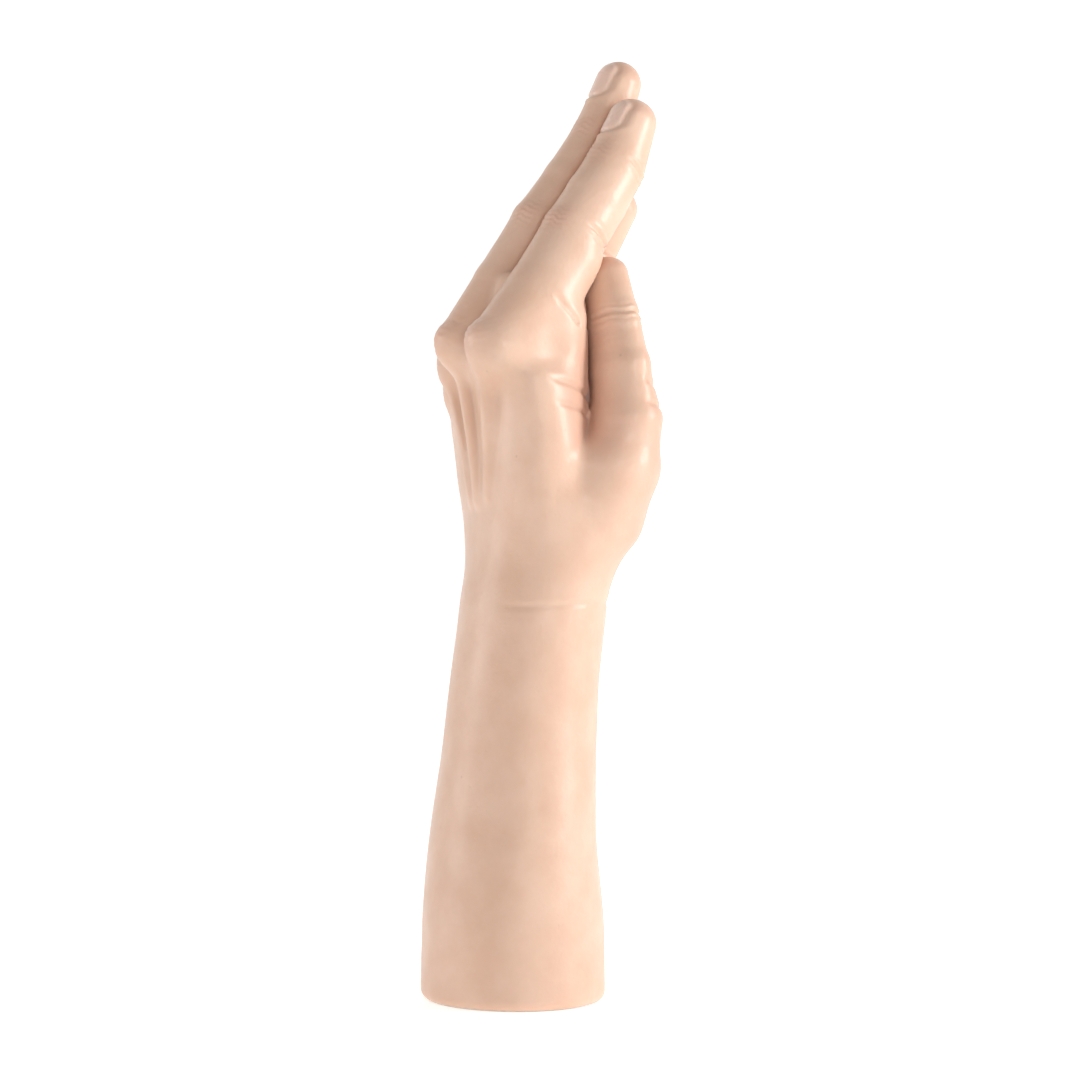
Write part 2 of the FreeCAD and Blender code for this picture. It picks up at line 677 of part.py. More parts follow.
def make_hand_frame():
    """U-shaped frame: web on the wrist, two cheeks up to the knuckle axle, one arm to the thumb axle."""
    body = doc.addObject("PartDesign::Body", "hand_frame")
    outline = polygon_sketch(body, "frame_outline", OUTLINE_LOW + OUTLINE_THUMB + OUTLINE_HIGH)
    pad = body.newObject("PartDesign::Pad", "frame_block")
    pad.Profile = outline
    pad.Midplane = True
    pad.setExpression("Length", "d.frame_gap + 2 * d.frame_sheet")
    body.setExpression("Placement.Base.z", "d.forearm_length")
    doc.recompute()
    floor = "d.pivot_flange_thickness + d.web_thickness"
    half = "d.frame_gap / 2"
    room = polygon_sketch(body, "frame_room", [
        ("-" + half, floor), (half, floor), (half, "2 * d.palm_length"), ("-" + half, "2 * d.palm_length"),
    ], "YZ_Plane")  # fmt: skip
    pocket_through(body, room, "frame_room_cut")
    beyond = "d.thumb_x + d.palm_length"
    side = polygon_sketch(body, "arm_side", [
        ("0.6 * d.pivot_flange_radius", "-" + half), (beyond, "-" + half),
        (beyond, "d.palm_length"), ("0.6 * d.pivot_flange_radius", "d.palm_length"),
    ], "XY_Plane")  # fmt: skip
    pocket_through(body, side, "arm_side_cut")
    holes = [("knuckle_hole", "d.axle_radius", "d.axle_x", "d.palm_length")]
    holes += [("thumb_hole", "d.thumb_axle_radius", "d.thumb_x", "d.thumb_rise")]
    for k, (x, z) in enumerate(KNUCKLE_PINS):
        holes.append((f"pin_hole_{k}", "d.pin_radius", f"d.axle_x + ({x})", f"d.palm_length + ({z})"))
    for k, (x, z) in enumerate(THUMB_PINS):
        at = (f"d.thumb_x + ({x})", f"d.thumb_rise + ({z})")
        holes.append((f"thumb_pin_hole_{k}", "0.8 * d.pin_radius", *at))
    for name, radius, x, z in holes:
        sketch = circle_sketch(body, name + "_circle", radius, (x, z), "XZ_Plane")
        pocket_through(body, sketch, name)
    sketch = circle_sketch(
        body, "web_hole_circle", "d.small_screw_radius + d.plain_gap",
        ("d.frame_screw_circle * cos(45 deg)", "d.frame_screw_circle * sin(45 deg)"), "XY_Plane",
    )  # fmt: skip
    hole = pocket_through(body, sketch, "web_hole")
    polar(body, hole, "web_holes", 4)
    return sub_part("hand_frame", body)


def make_wrist_pivot():
    """Turned stud and flange the hand frame is screwed to, with the retaining ring near its end."""
    reach = "(d.washer_thickness + d.housing_length + d.spigot_length)"
    groove = "(d.pivot_radius - 0.8)"
    low = f"-({reach} + d.running_gap * 6)"
    thick = "d.washer_thickness * 1.2"
    body = turned_body("wrist_pivot", "d.forearm_length", [
        ("0", f"-{reach} - 5"), ("d.pivot_radius - 0.5", f"-{reach} - 5"),
        ("d.pivot_radius", f"-{reach} - 4.5"), ("d.pivot_radius", f"{low} - {thick}"),
        (groove, f"{low} - {thick}"), (groove, low), ("d.pivot_radius", low),
        ("d.pivot_radius", "0"), ("d.pivot_flange_radius", "0"),
        ("d.pivot_flange_radius", "d.pivot_flange_thickness"), ("0", "d.pivot_flange_thickness"),
    ])  # fmt: skip
    sketch = circle_sketch(
        body, "pivot_hole_circle", "d.small_screw_radius",
        ("d.frame_screw_circle * cos(45 deg)", "d.frame_screw_circle * sin(45 deg)"), "XY_Plane",
    )  # fmt: skip
    hole = pocket_through(body, sketch, "pivot_hole")
    polar(body, hole, "pivot_holes", 4)
    ring("retaining_ring", "d.pivot_radius + 2.5", groove, thick,
         ("0", "0", f"d.forearm_length + {low} - {thick}"))  # fmt: skip
    return body


def make_frame_screw(k, x, y):
    """Cap screw down through the frame's web into the pivot's flange."""
    shank = cylinder(f"frame_shank_{k}", "d.small_screw_radius",
                     "d.pivot_flange_thickness + d.web_thickness", (x, y, "d.forearm_length"))  # fmt: skip
    top = "d.forearm_length + d.pivot_flange_thickness + d.web_thickness"
    head = cylinder(f"frame_head_{k}", "1.8 * d.small_screw_radius", "2 * d.small_screw_radius", (x, y, top))
    recess = prism(f"frame_hex_{k}", "0.9 * d.small_screw_radius", "1.2 * d.small_screw_radius",
                   (x, y, top + " + 0.8 * d.small_screw_radius"))  # fmt: skip
    return cut(f"frame_screw_{k}", fuse(f"frame_screw_blank_{k}", shank, head), recess)


def make_axles():
    """Knuckle bolt and nut, thumb bolt and its two washers, and the four stop pins."""
    level = "d.forearm_length + d.palm_length"
    head = "1.2 * d.axle_radius"
    shank = cylinder("knuckle_shank", "d.axle_radius", f"2 * {FRAME_SIDE} + 1.8 * d.axle_radius",
                     ("d.axle_x", f"-{FRAME_SIDE}", level), "Y")  # fmt: skip
    cap = cylinder("knuckle_cap", "1.7 * d.axle_radius", head, ("d.axle_x", f"-{FRAME_SIDE} - {head}", level), "Y")
    recess = prism("knuckle_hex", "0.9 * d.axle_radius", "0.7 * d.axle_radius",
                   ("d.axle_x", f"-{FRAME_SIDE} - {head}", level), "Y")  # fmt: skip
    sub_part("knuckle_axle", cut("knuckle_axle", fuse("knuckle_blank", shank, cap), recess))
    at = ("d.axle_x", FRAME_SIDE, level)
    nut = prism("nut_hex", "1.8 * d.axle_radius", "1.6 * d.axle_radius", at, "Y")
    bore = cylinder("nut_bore", "d.axle_radius", "1.6 * d.axle_radius", at, "Y")
    sub_part("knuckle_nut", cut("knuckle_nut", nut, bore))

    level = "d.forearm_length + d.thumb_rise"
    washer = "0.5 * d.washer_thickness"
    stack = f"(d.lever_hub_length + 2 * {washer} + 2 * d.running_gap)"
    outer_face = f"-{FRAME_SIDE} - {stack}"
    shank = cylinder("thumb_shank", "d.thumb_axle_radius", f"{stack} + d.frame_sheet",
                     ("d.thumb_x", outer_face, level), "Y")  # fmt: skip
    head = "1.2 * d.thumb_axle_radius"
    cap = cylinder("thumb_cap", "2 * d.thumb_axle_radius", head, ("d.thumb_x", f"{outer_face} - {head}", level), "Y")
    recess = prism("thumb_hex", "0.9 * d.thumb_axle_radius", "0.7 * d.thumb_axle_radius",
                   ("d.thumb_x", f"{outer_face} - {head}", level), "Y")  # fmt: skip
    sub_part("thumb_axle", cut("thumb_axle", fuse("thumb_blank", shank, cap), recess))
    washers = []
    for k, y in enumerate((outer_face, f"-{FRAME_SIDE} - {washer}")):
        at = ("d.thumb_x", y, level)
        disc = cylinder(f"washer_disc_{k}", "2.2 * d.thumb_axle_radius", washer, at, "Y")
        bore = cylinder(f"washer_bore_{k}", "d.thumb_axle_radius", washer, at, "Y")
        washers.append(cut(f"thumb_washer_{k}", disc, bore))
    group("thumb_washers", washers)

    pins = []
    for k, (x, z) in enumerate(KNUCKLE_PINS):
        at = (f"d.axle_x + ({x})", f"-{FRAME_SIDE}", f"d.forearm_length + d.palm_length + ({z})")
        pins.append(cylinder(f"stop_pin_{k}", "d.pin_radius", f"2 * {FRAME_SIDE}", at, "Y"))
    for k, (x, z) in enumerate(THUMB_PINS):
        at = (f"d.thumb_x + ({x})", f"-{FRAME_SIDE} - 0.6 * {stack}", f"{level} + ({z})")
        pins.append(cylinder(f"thumb_pin_{k}", "0.8 * d.pin_radius", f"0.6 * {stack} + d.frame_sheet", at, "Y"))
    group("stop_pins", pins)


def make_return_spring():
    """Torsion spring beside the carrier's hub; its legs lie along the carrier and the frame."""
    wire = d("spring_wire") / 2
    coil = d("axle_radius") + 1.0 + wire
    pitch = 2 * wire + 0.15
    turns = d("spring_turns")
    start = -d("frame_gap") / 2 + 0.8
    helix = Part.makeHelix(pitch, pitch * turns, coil)
    leg = 1.3 * coil
    first = Part.makeLine(V(coil, -leg, 0), V(coil, 0, 0))
    last = Part.makeLine(V(coil, 0, pitch * turns), V(coil, leg, pitch * turns))
    path = Part.Wire([first, *helix.Edges, last])
    profile = Part.Wire([Part.Circle(V(coil, -leg, 0), Y_AXIS, wire).toShape()])
    solid = path.makePipeShell([profile], True, True)
    solid.rotate(V(), X_AXIS, -90)
    solid.rotate(V(), Y_AXIS, 180)
    solid.translate(V(AXLE.x, start, AXLE.z))
    return shape_part("return_spring", solid.transformed(FreeCAD.Matrix(), True))


def outline_block(points, low, high):
    """The block of an outline in X and height above the wrist, between two values of Y."""
    corners = [V(d(x), low, wrist_z + d(z)) for x, z in points]
    face = Part.Face(Part.makePolygon(corners + corners[:1]))
    return face.extrude(V(0, high - low, 0))


def hinge_room(axle, radius, low, high):
    """A round space about a hinge's axis, between two values of Y."""
    return Part.makeCylinder(radius, high - low, V(axle.x, low, axle.z), Y_AXIS)


def knuckle_split(lift=0.0):
    """Everything on the palm's side of the knuckles' split, with room for the fingers to open."""
    tilt = d("split_tilt")
    opened = d("finger_opening - split_tilt + opening_clearance")
    point = AXLE + V(0, 0, lift)
    return half_space(point, -tilt).common(half_space(point, opened))


def thumb_split(lift=0.0):
    """Everything on the palm's side of the thumb's split, with room for the thumb to open."""
    opened = d("thumb_opening + opening_clearance")
    point = THUMB_AXLE + V(0, 0, lift)
    return half_space(point, 0).common(half_space(point, -opened))


def hand_blank(inset):
    """The palm up to the knuckles' split with the ball of the thumb up to the thumb's split."""
    palm = palm_solid(inset, wrist_z, wrist_z + d("palm_length") + 1.5)
    ball = thenar_solid(inset, wrist_z + d("thumb_rise") + 1)
    keep = ball.common(thumb_split(-gap))
    return palm.fuse(keep).common(knuckle_split(-gap))


def make_hand_soft():
    """The glove's palm zone and the foam between it and the frame."""
    frame = doc.getObject("hand_frame").Shape
    glove = hand_blank(0).cut([hand_blank_inside(wall), frame])
    knuckle_room = hinge_room(AXLE, d("boss_radius") + 1.5, -d(FRAME_SIDE) - 4.5, d(FRAME_SIDE) + 5.5)
    thumb_room = hinge_room(THUMB_AXLE, 1.2 * d("pin_reach"), -d(FRAME_SIDE) - 11.5, -d("frame_gap") / 2 + 0.2)
    shape_part("glove_palm", glove)
    foam = hand_blank(wall + gap)
    plain = OUTLINE_LOW + OUTLINE_HIGH
    side = d(FRAME_SIDE) + d("plain_gap")
    room = outline_block(plain, -side, side)
    arm = outline_block(OUTLINE_LOW + OUTLINE_THUMB + OUTLINE_HIGH, -side, -d("frame_gap") / 2 + d("plain_gap"))
    flange = Part.makeCylinder(d("pivot_flange_radius") + gap, d("pivot_flange_thickness") + gap, V(0, 0, wrist_z))
    shape_part("palm_foam", foam.cut([room, arm, flange, knuckle_room, thumb_room, frame]))


def hand_blank_inside(inset):
    """The palm's inside, long enough to leave the glove open at the wrist and at both splits."""
    palm = palm_solid(inset, wrist_z - 1, wrist_z + d("palm_length") + 2)
    ball = thenar_solid(inset, wrist_z + 1.1 * d("thumb_rise"))
    return palm.fuse(ball)


def make_hand():
    make_wrist_pivot()
    make_hand_frame()
    group("frame_screws", ring_of(4, "d.frame_screw_circle", make_frame_screw, first=45))
    make_axles()
    make_return_spring()
    make_hand_soft()


# ---------------------------------------------------------------- fingers


def make_finger_carrier():
    """Casting with a hub and stop lug on the knuckle axle and a socket for each finger's rod."""
    hub_start = d("spring_room - frame_gap / 2")
    hub_end = d("frame_gap / 2 - side_play")
    hub = Part.makeCylinder(d("hub_radius"), hub_end - hub_start, V(AXLE.x, hub_start, AXLE.z), Y_AXIS)
    half = d("lug_width") / 2
    reach = d("pin_reach") + 2.5
    lug = Part.makeBox(2 * half, 6, reach, V(AXLE.x - half, hub_start, AXLE.z - reach))
    starts = {name: digit.at(d("socket_start")) for name, digit in DIGITS.items()}
    link = d("link_radius")
    ends = (V(AXLE.x, hub_start + link, AXLE.z), V(AXLE.x, hub_end - link, AXLE.z))
    parts = [lug, *(bar_between(end, starts["middle"], link) for end in ends)]
    names = list(DIGITS)
    for one, other in zip(names, names[1:]):
        parts.append(bar_between(starts[one], starts[other], link))
    for name, digit in DIGITS.items():
        start = d("socket_start")
        parts.append(Part.makeSphere(d("socket_radius"), starts[name]))
        parts.append(digit.bar(d("socket_radius"), start, start + d("socket_length")))
    body = hub.fuse(parts)
    bore = Part.makeCylinder(d("axle_radius + bush_wall"), 60, V(AXLE.x, -30, AXLE.z), Y_AXIS)
    holes = [bore]
    for digit in DIGITS.values():
        start = d("socket_start + 2")
        holes.append(digit.bar(d("rod_radius"), start, start + 60))
        holes.append(digit.cross_bar(d("small_screw_radius"), screw_spot(), d("rod_radius"), 20))
    return shape_part("finger_carrier", body.cut(holes).removeSplitter())


def screw_spot():
    return d("socket_start + socket_length - 4")


def make_rod(label, digit, start):
    """A rod from a socket to short of the digit's tip."""
    return shape_part(label, digit.bar(d("rod_radius"), start, digit.length - 0.75 * digit.breadth))


def finger_room():
    """The space the finger zones leave clear round the knuckle hinge."""
    return hinge_room(AXLE, d("boss_radius") + 1.5, -d(FRAME_SIDE) - 4.5, d(FRAME_SIDE) + 5.5)


def make_fingers():
    carrier = make_finger_carrier()
    hub_start = "(d.spring_room - d.frame_gap / 2)"
    ring("knuckle_bush", "d.axle_radius + d.bush_wall", "d.axle_radius + d.running_gap",
         f"d.frame_gap / 2 - d.side_play - {hub_start}",
         ("d.axle_x", hub_start, "d.forearm_length + d.palm_length"), "Y")  # fmt: skip
    screws = []
    for name, digit in DIGITS.items():
        make_rod(f"{name}_rod", digit, d("socket_start + 2"))
        screws.append(digit.cross_bar(d("small_screw_radius"), screw_spot(), d("rod_radius"), d("socket_radius")))
    shape_part("rod_screws", Part.makeCompound(screws))
    below = half_space(AXLE, -d("split_tilt"))
    metal = [finger_room(), carrier.Shape, *screws]
    done = []
    for name, digit in DIGITS.items():
        outside = digit.solid(0).cut([below] + done)
        glove = outside.cut([digit.solid(wall)] + metal)
        shape_part(f"{name}_glove", biggest(glove))
        rod = digit.bar(d("rod_radius"), 0, digit.length - 0.75 * digit.breadth)
        foam = digit.solid(wall + gap).cut([below, rod] + metal + done)
        shape_part(f"{name}_foam", biggest(foam))
        done.append(digit.solid(0))


def biggest(shape):
    """The largest solid of a shape, leaving out the slivers a cut may part from it."""
    return max(shape.Solids, key=lambda solid: solid.Volume)


# ---------------------------------------------------------------- thumb


def make_thumb():
    """The thumb's lever with its bush and rod, its foam and the glove's thumb zone."""
    level = THUMB_AXLE.z
    outer = -d(FRAME_SIDE)
    hub_end = outer - 0.5 * d("washer_thickness") - d("running_gap")
    hub_start = hub_end - d("lever_hub_length")
    centre = V(THUMB_AXLE.x, (hub_start + hub_end) / 2, level)
    hub_radius = 0.9 * d("hub_radius")
    hub = Part.makeCylinder(hub_radius, hub_end - hub_start, V(THUMB_AXLE.x, hub_start, level), Y_AXIS)
    half = 0.375 * d("lug_width")
    reach = 0.85 * d("pin_reach") + 1.5
    lug = Part.makeBox(2 * half, 3.5, reach, V(THUMB_AXLE.x - half, hub_end - 3.5, level - reach))
    link = d("lever_hub_length") / 2
    knee = centre + V(0, 0, 2 * hub_radius)
    start = 14.0
    parts = [lug, bar_between(centre, knee, link), Part.makeSphere(link, knee)]
    parts += [bar_between(knee, THUMB.at(start), link), Part.makeSphere(link, THUMB.at(start))]
    parts += [THUMB.bar(0.8 * d("socket_radius"), start, start + 0.8 * d("socket_length"))]
    bore = Part.makeCylinder(d("thumb_axle_radius + bush_wall"), 60, V(THUMB_AXLE.x, -60, level), Y_AXIS)
    rod_hole = THUMB.bar(d("rod_radius"), start + 1, start + 60)
    lever = hub.fuse(parts).cut([bore, rod_hole]).removeSplitter()
    shape_part("thumb_lever", lever)
    bush = Part.makeCylinder(d("thumb_axle_radius + bush_wall"), hub_end - hub_start, V(centre.x, hub_start, level), Y_AXIS)
    hole = Part.makeCylinder(d("thumb_axle_radius + running_gap"), 60, V(centre.x, -60, level), Y_AXIS)
    shape_part("thumb_bush", bush.cut(hole))
    make_rod("thumb_rod", THUMB, start + 1)
    below = Part.makeBox(400, 400, 200, V(-200, -200, level - 200))
    room = hinge_room(THUMB_AXLE, 1.2 * d("pin_reach"), outer - 11.5, -d("frame_gap") / 2 + 0.2)
    outside = THUMB.solid(0).cut(below)
    glove = outside.cut([THUMB.solid(wall), room])
    shape_part("glove_thumb", glove)
    foam = THUMB.solid(wall + gap).cut([below, room, lever, THUMB.bar(d("rod_radius"), 0, THUMB.length - 0.75 * THUMB.breadth)])
    shape_part("thumb_foam", biggest(foam))


# ---------------------------------------------------------------- build, check and write

make_forearm()
make_hand()
make_fingers()
make_thumb()
doc.recompute()

for obj in doc.Objects:
    bad = {"Invalid", "Error"} & set(obj.State)
    if bad:
        raise RuntimeError(f"{obj.Name}: {sorted(bad)}")

os.makedirs("parts", exist_ok=True)
for part in SUB_PARTS:
    shape = part.Shape
    if shape.isNull() or not shape.isValid() or not shape.Solids:
        raise RuntimeError(part.Label + " has no valid solid")
    shape.exportStep(f"parts/{part.Label}.step")
    print(f"{part.Label}: {len(shape.Solids)} solids, {shape.Volume:.0f} mm3")
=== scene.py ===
"""Soft glove of a passive prosthetic hand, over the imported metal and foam, with its floor and lights.

The glove's surface is the zero level of a distance field in millimetres. Ovals stacked along the
forearm and palm, tapered bars for the fingers and thumb and round pads are joined by smooth unions;
the field is worked out on a grid with numpy and meshed cell by cell. Creases, wrinkles, tendons and
nails are offsets along the surface, from each digit's own coordinates.
"""

import json
import math

import bpy
import numpy as np
from bpy.props import FloatProperty, FloatVectorProperty, IntProperty, PointerProperty
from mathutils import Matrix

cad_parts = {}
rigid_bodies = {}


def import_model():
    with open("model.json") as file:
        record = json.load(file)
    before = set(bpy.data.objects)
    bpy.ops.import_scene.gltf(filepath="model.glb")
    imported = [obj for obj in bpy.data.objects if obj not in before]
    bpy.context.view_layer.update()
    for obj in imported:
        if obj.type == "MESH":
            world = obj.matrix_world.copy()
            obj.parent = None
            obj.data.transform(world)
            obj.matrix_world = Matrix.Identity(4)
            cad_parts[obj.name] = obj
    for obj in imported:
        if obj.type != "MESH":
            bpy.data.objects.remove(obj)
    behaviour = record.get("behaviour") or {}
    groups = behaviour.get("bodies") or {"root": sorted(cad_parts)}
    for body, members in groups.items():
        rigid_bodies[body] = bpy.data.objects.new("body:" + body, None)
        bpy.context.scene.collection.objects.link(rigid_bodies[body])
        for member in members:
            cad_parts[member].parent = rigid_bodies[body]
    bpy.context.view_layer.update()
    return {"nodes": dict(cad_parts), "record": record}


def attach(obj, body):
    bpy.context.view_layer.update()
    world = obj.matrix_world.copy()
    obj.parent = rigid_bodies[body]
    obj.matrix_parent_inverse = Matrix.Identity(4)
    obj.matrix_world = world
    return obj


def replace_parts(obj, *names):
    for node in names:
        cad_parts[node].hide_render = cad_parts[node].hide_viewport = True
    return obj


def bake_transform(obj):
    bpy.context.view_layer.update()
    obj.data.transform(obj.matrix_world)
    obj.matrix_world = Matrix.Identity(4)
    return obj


bl_info = {
    "name": "Passive Hand Glove",
    "version": (1, 0, 0),
    "blender": (4, 5, 0),
    "location": "View3D > Sidebar > Hand",
    "description": "Moulded glove, finishes and studio for a passive prosthetic hand",
    "category": "Mesh",
}

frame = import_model()
MM = 0.001

# millimetres, as everything up to the pieces
CACHE = {}  # the glove's field and surface, which every piece is cut from
FIELD_LOW, FIELD_HIGH = (-38, -41, -3), (50, 46, 304)  # corners of the grid round the glove
FAR = 12.0  # distance given to grid points that no shape has reached
WALL = 2.4  # the glove's wall, outside the foam
PALM_TOP, PALM_EDGE = 203.0, 9  # upper end of the stacked ovals and its rounding
PLATE_STEP, PLATE_TOP = 2.15, 5.1  # the base plate's edge inside the glove's side, and its top with clearance
SLOT_START, SLOT_WIDTH = 184, 1.3  # slot between the thumb and palm

# ---------------------------------------------------------------- settings


class GloveSettings(bpy.types.PropertyGroup):
    """Sizes and colours of the glove."""

    cell: FloatProperty(
        name="Cell", description="Size of the mesh's cells", default=0.00072, min=0.0004, max=0.003, unit="LENGTH"
    )
    hem: FloatProperty(name="Hem", description="Rounding of the lower edge", default=0.0032, unit="LENGTH")
    crease: FloatProperty(name="Crease", description="Depth of the finger creases", default=0.0011, unit="LENGTH")
    skin: FloatVectorProperty(
        name="Skin", description="Main colour of the glove", subtype="COLOR", default=(0.77, 0.525, 0.395)
    )
    flush: FloatVectorProperty(
        name="Flush", description="Colour of the palm and knuckles", subtype="COLOR", default=(0.72, 0.42, 0.31)
    )
    nail: FloatVectorProperty(
        name="Nail", description="Colour of the nails", subtype="COLOR", default=(0.83, 0.58, 0.47)
    )
    gloss: FloatProperty(
        name="Roughness", description="Roughness of the glove", default=0.42, min=0, max=1, subtype="FACTOR"
    )


class StudioSettings(bpy.types.PropertyGroup):
    """Camera and lights."""

    azimuth: FloatProperty(
        name="Azimuth", description="Direction the camera looks from", default=math.radians(-20), subtype="ANGLE"
    )
    distance: FloatProperty(name="Distance", description="Camera to the tube's axis", default=1.0, unit="LENGTH")
    height: FloatProperty(name="Height", description="Camera above the floor", default=0.1453, unit="LENGTH")
    aside: FloatProperty(name="Aside", description="Camera's step to the right", default=0.0058, unit="LENGTH")
    lens: FloatProperty(name="Lens", description="Focal length in millimetres", default=105.0)
    steps: IntProperty(name="Steps", description="Steps of the floor's curve", default=24)


# ---------------------------------------------------------------- shapes of the hand, millimetres


def vec(*values):
    """Numbers as a single-precision array."""
    return np.array(values, np.float32)


# height, middle x, middle y, half depth, half breadth of the forearm and palm
TRUNK = np.array([
    (-20, -3.1, 0, 28.7, 32.4), (12, -3.1, 0, 28.7, 32.4), (25, -3.2, 0, 28.4, 32.2), (37, -3.2, 0, 27.4, 31.4),
    (50, -3.0, 0, 26.0, 30.3), (63, -2.2, 0, 25.0, 29.1), (75, -1.3, 0, 24.2, 28.1), (88, -0.2, 0, 23.7, 27.3),
    (101, 1.0, 0, 23.2, 27.1), (114, 2.6, 0, 23.0, 27.3), (126, 3.9, 0, 22.8, 27.6), (139, 5.0, 0.3, 21.3, 28.4),
    (152, 3.2, 1.0, 18.4, 29.8), (164, 0.4, 2.0, 16.2, 31.5), (177, -1.0, 2.8, 14.9, 33.0),
    (190, -3.0, 3.5, 13.8, 34.3), (200, -5.6, 4.0, 12.8, 34.6), (215, -8.0, 4.5, 12.0, 34.0),
])  # fmt: skip

# each digit: centre line points with half depth (front to back) and half breadth (side to side)
DIGITS = {
    "index": [
        ((-13.4, -19.0, 205.0), 11.2, 10.6), ((0.8, -17.6, 221.6), 12.2, 10.2), ((12.4, -15.0, 241.4), 10.6, 9.3),
        ((20.2, -13.6, 253.0), 10.2, 8.8), ((27.2, -12.0, 263.2), 9.6, 8.5), ((33.6, -10.2, 278.0), 7.9, 7.5),
    ],
    "middle": [
        ((-16.4, 0.0, 207.0), 11.4, 10.4), ((-4.0, 0.0, 224.2), 12.4, 9.9), ((8.0, 0.3, 244.4), 11.2, 9.3),
        ((17.6, 1.2, 259.0), 9.9, 8.8), ((27.2, 2.2, 274.0), 8.9, 8.4), ((34.0, 3.0, 291.8), 7.4, 7.5),
    ],
    "ring": [
        ((-11.0, 16.5, 201.0), 10.8, 10.0), ((-2.0, 15.6, 219.5), 11.3, 9.4), ((10.5, 14.6, 238.0), 9.5, 8.8),
        ((20.0, 13.6, 250.0), 9.0, 8.4), ((28.5, 12.6, 261.0), 8.4, 8.0), ((35.6, 11.4, 275.5), 7.0, 7.2),
    ],
    "little": [
        ((-4.4, 30.0, 193.5), 10.2, 9.4), ((3.0, 27.3, 207.0), 10.6, 8.8), ((13.0, 24.6, 220.8), 11.5, 8.3),
        ((21.8, 21.4, 229.8), 10.4, 7.8), ((29.4, 18.2, 240.8), 10.0, 7.4), ((36.6, 14.6, 254.2), 8.6, 7.0),
    ],
    "thumb": [
        ((7.5, -12.0, 134.0), 10.0, 10.0), ((20.3, -17.5, 153.0), 12.5, 14.0), ((25.0, -20.8, 168.0), 12.0, 13.2),
        ((27.3, -20.5, 183.0), 12.8, 10.3), ((26.0, -18.4, 199.0), 12.6, 7.6), ((24.5, -15.2, 214.0), 11.9, 7.0),
        ((23.5, -13.2, 228.4), 8.6, 6.3),
    ],
}  # fmt: skip

# soft pads joined to the palm: two ends, two radii, softness of the join
PADS = [
    ((7.0, 16.0, 143.0), (1.0, 28.5, 182.0), 12.5, 10.5, 12.0),  # heel on the little finger's side
    ((3.0, -15.0, 176.0), (4.6, -16.0, 214.0), 11.0, 10.6, 8.0),  # flesh of the first web
    ((14.5, -7.0, 172.0), (16.6, -6.5, 222.0), 9.5, 7.6, 6.0),  # palm drawn in behind the thumb
    ((-6.0, -16.0, 205.0), (-6.0, 14.0, 204.0), 9.5, 9.0, 6.0),  # webs between the fingers
    ((-10.0, -9.6, 212.0), (-7.0, -9.4, 225.0), 5.6, 4.6, 3.0),
    ((-10.0, 8.0, 212.0), (-3.6, 8.6, 229.0), 5.4, 4.6, 3.0),
    ((12.0, -16.0, 233.5), (5.0, -17.0, 224.0), 8.6, 8.6, 2.0),  # pad of the index finger's first joint
    ((-6.0, 14.0, 204.0), (0.0, 27.0, 197.0), 9.0, 8.0, 6.0),
    ((2.0, -6.0, 196.0), (3.0, 22.0, 192.0), 9.5, 8.5, 10.0),  # pads under the knuckles
    ((-19.6, -19.0, 208.0), (-19.2, -19.0, 206.0), 4.4, 4.4, 5.0),  # knuckle points
    ((-23.4, 0.0, 207.8), (-23.0, 0.0, 205.6), 4.6, 4.6, 5.0),
    ((-16.8, 16.5, 204.8), (-16.6, 16.5, 202.0), 4.2, 4.2, 5.0),
    ((-9.6, 30.0, 196.8), (-9.4, 30.0, 193.0), 4.0, 4.0, 6.0),
    ((-18.4, -18.5, 201.0), (-13.8, -9.0, 160.0), 2.4, 1.5, 3.5),  # tendons
    ((-20.4, -0.5, 200.0), (-14.6, -2.0, 158.0), 2.2, 1.4, 3.5),
    ((-18.6, 15.5, 197.0), (-14.0, 4.0, 158.0), 2.0, 1.3, 3.5),
    ((20.0, -21.0, 160.0), (23.0, -22.0, 173.0), 8.0, 7.0, 6.0),  # root joint of the thumb
    ((-13.4, -10.0, 201.0), (-10.6, -10.0, 180.0), 6.6, 5.0, 4.0),  # back of the hand between two tendons
]


def smooth_min(a, b, k):
    """The lesser of two distances, rounded where they differ by less than k."""
    h = np.maximum(k - np.abs(a - b), 0.0) / k
    return np.minimum(a, b) - h * h * k * 0.25


def bell(x, width):
    """Smooth bump of height 1 at zero."""
    return np.exp(-((x / width) ** 2))


def steady(t):
    """Eased step from 0 to 1."""
    t = np.clip(t, 0, 1)
    return t * t * (3 - 2 * t)


def along_table(table, height):
    """Each column of a table at the given heights, by cubics whose tangents come from the rows on each side."""
    z = table[:, 0]
    slopes = np.gradient(table[:, 1:], z, axis=0)
    i = np.clip(np.searchsorted(z, height) - 1, 0, len(z) - 2)
    h = (z[i + 1] - z[i])[:, None]
    t = ((height - z[i]) / (z[i + 1] - z[i]))[:, None]
    p0, p1, m0, m1 = table[i, 1:], table[i + 1, 1:], slopes[i] * h, slopes[i + 1] * h
    t2, t3 = t * t, t * t * t
    return (2 * t3 - 3 * t2 + 1) * p0 + (t3 - 2 * t2 + t) * m0 + (3 * t2 - 2 * t3) * p1 + (t3 - t2) * m1


def axes_of(a, b, side_hint):
    """Unit vectors along a bar, across it towards side_hint, and square to both."""
    along = (b - a) / np.linalg.norm(b - a)
    side = side_hint - along * (side_hint @ along)
    side /= np.linalg.norm(side)
    return along, side, np.cross(side, along)


SIDE_HINT = {name: vec(0, 1, 0) for name in DIGITS}
SIDE_HINT["thumb"] = vec(1, 0.25, 0)


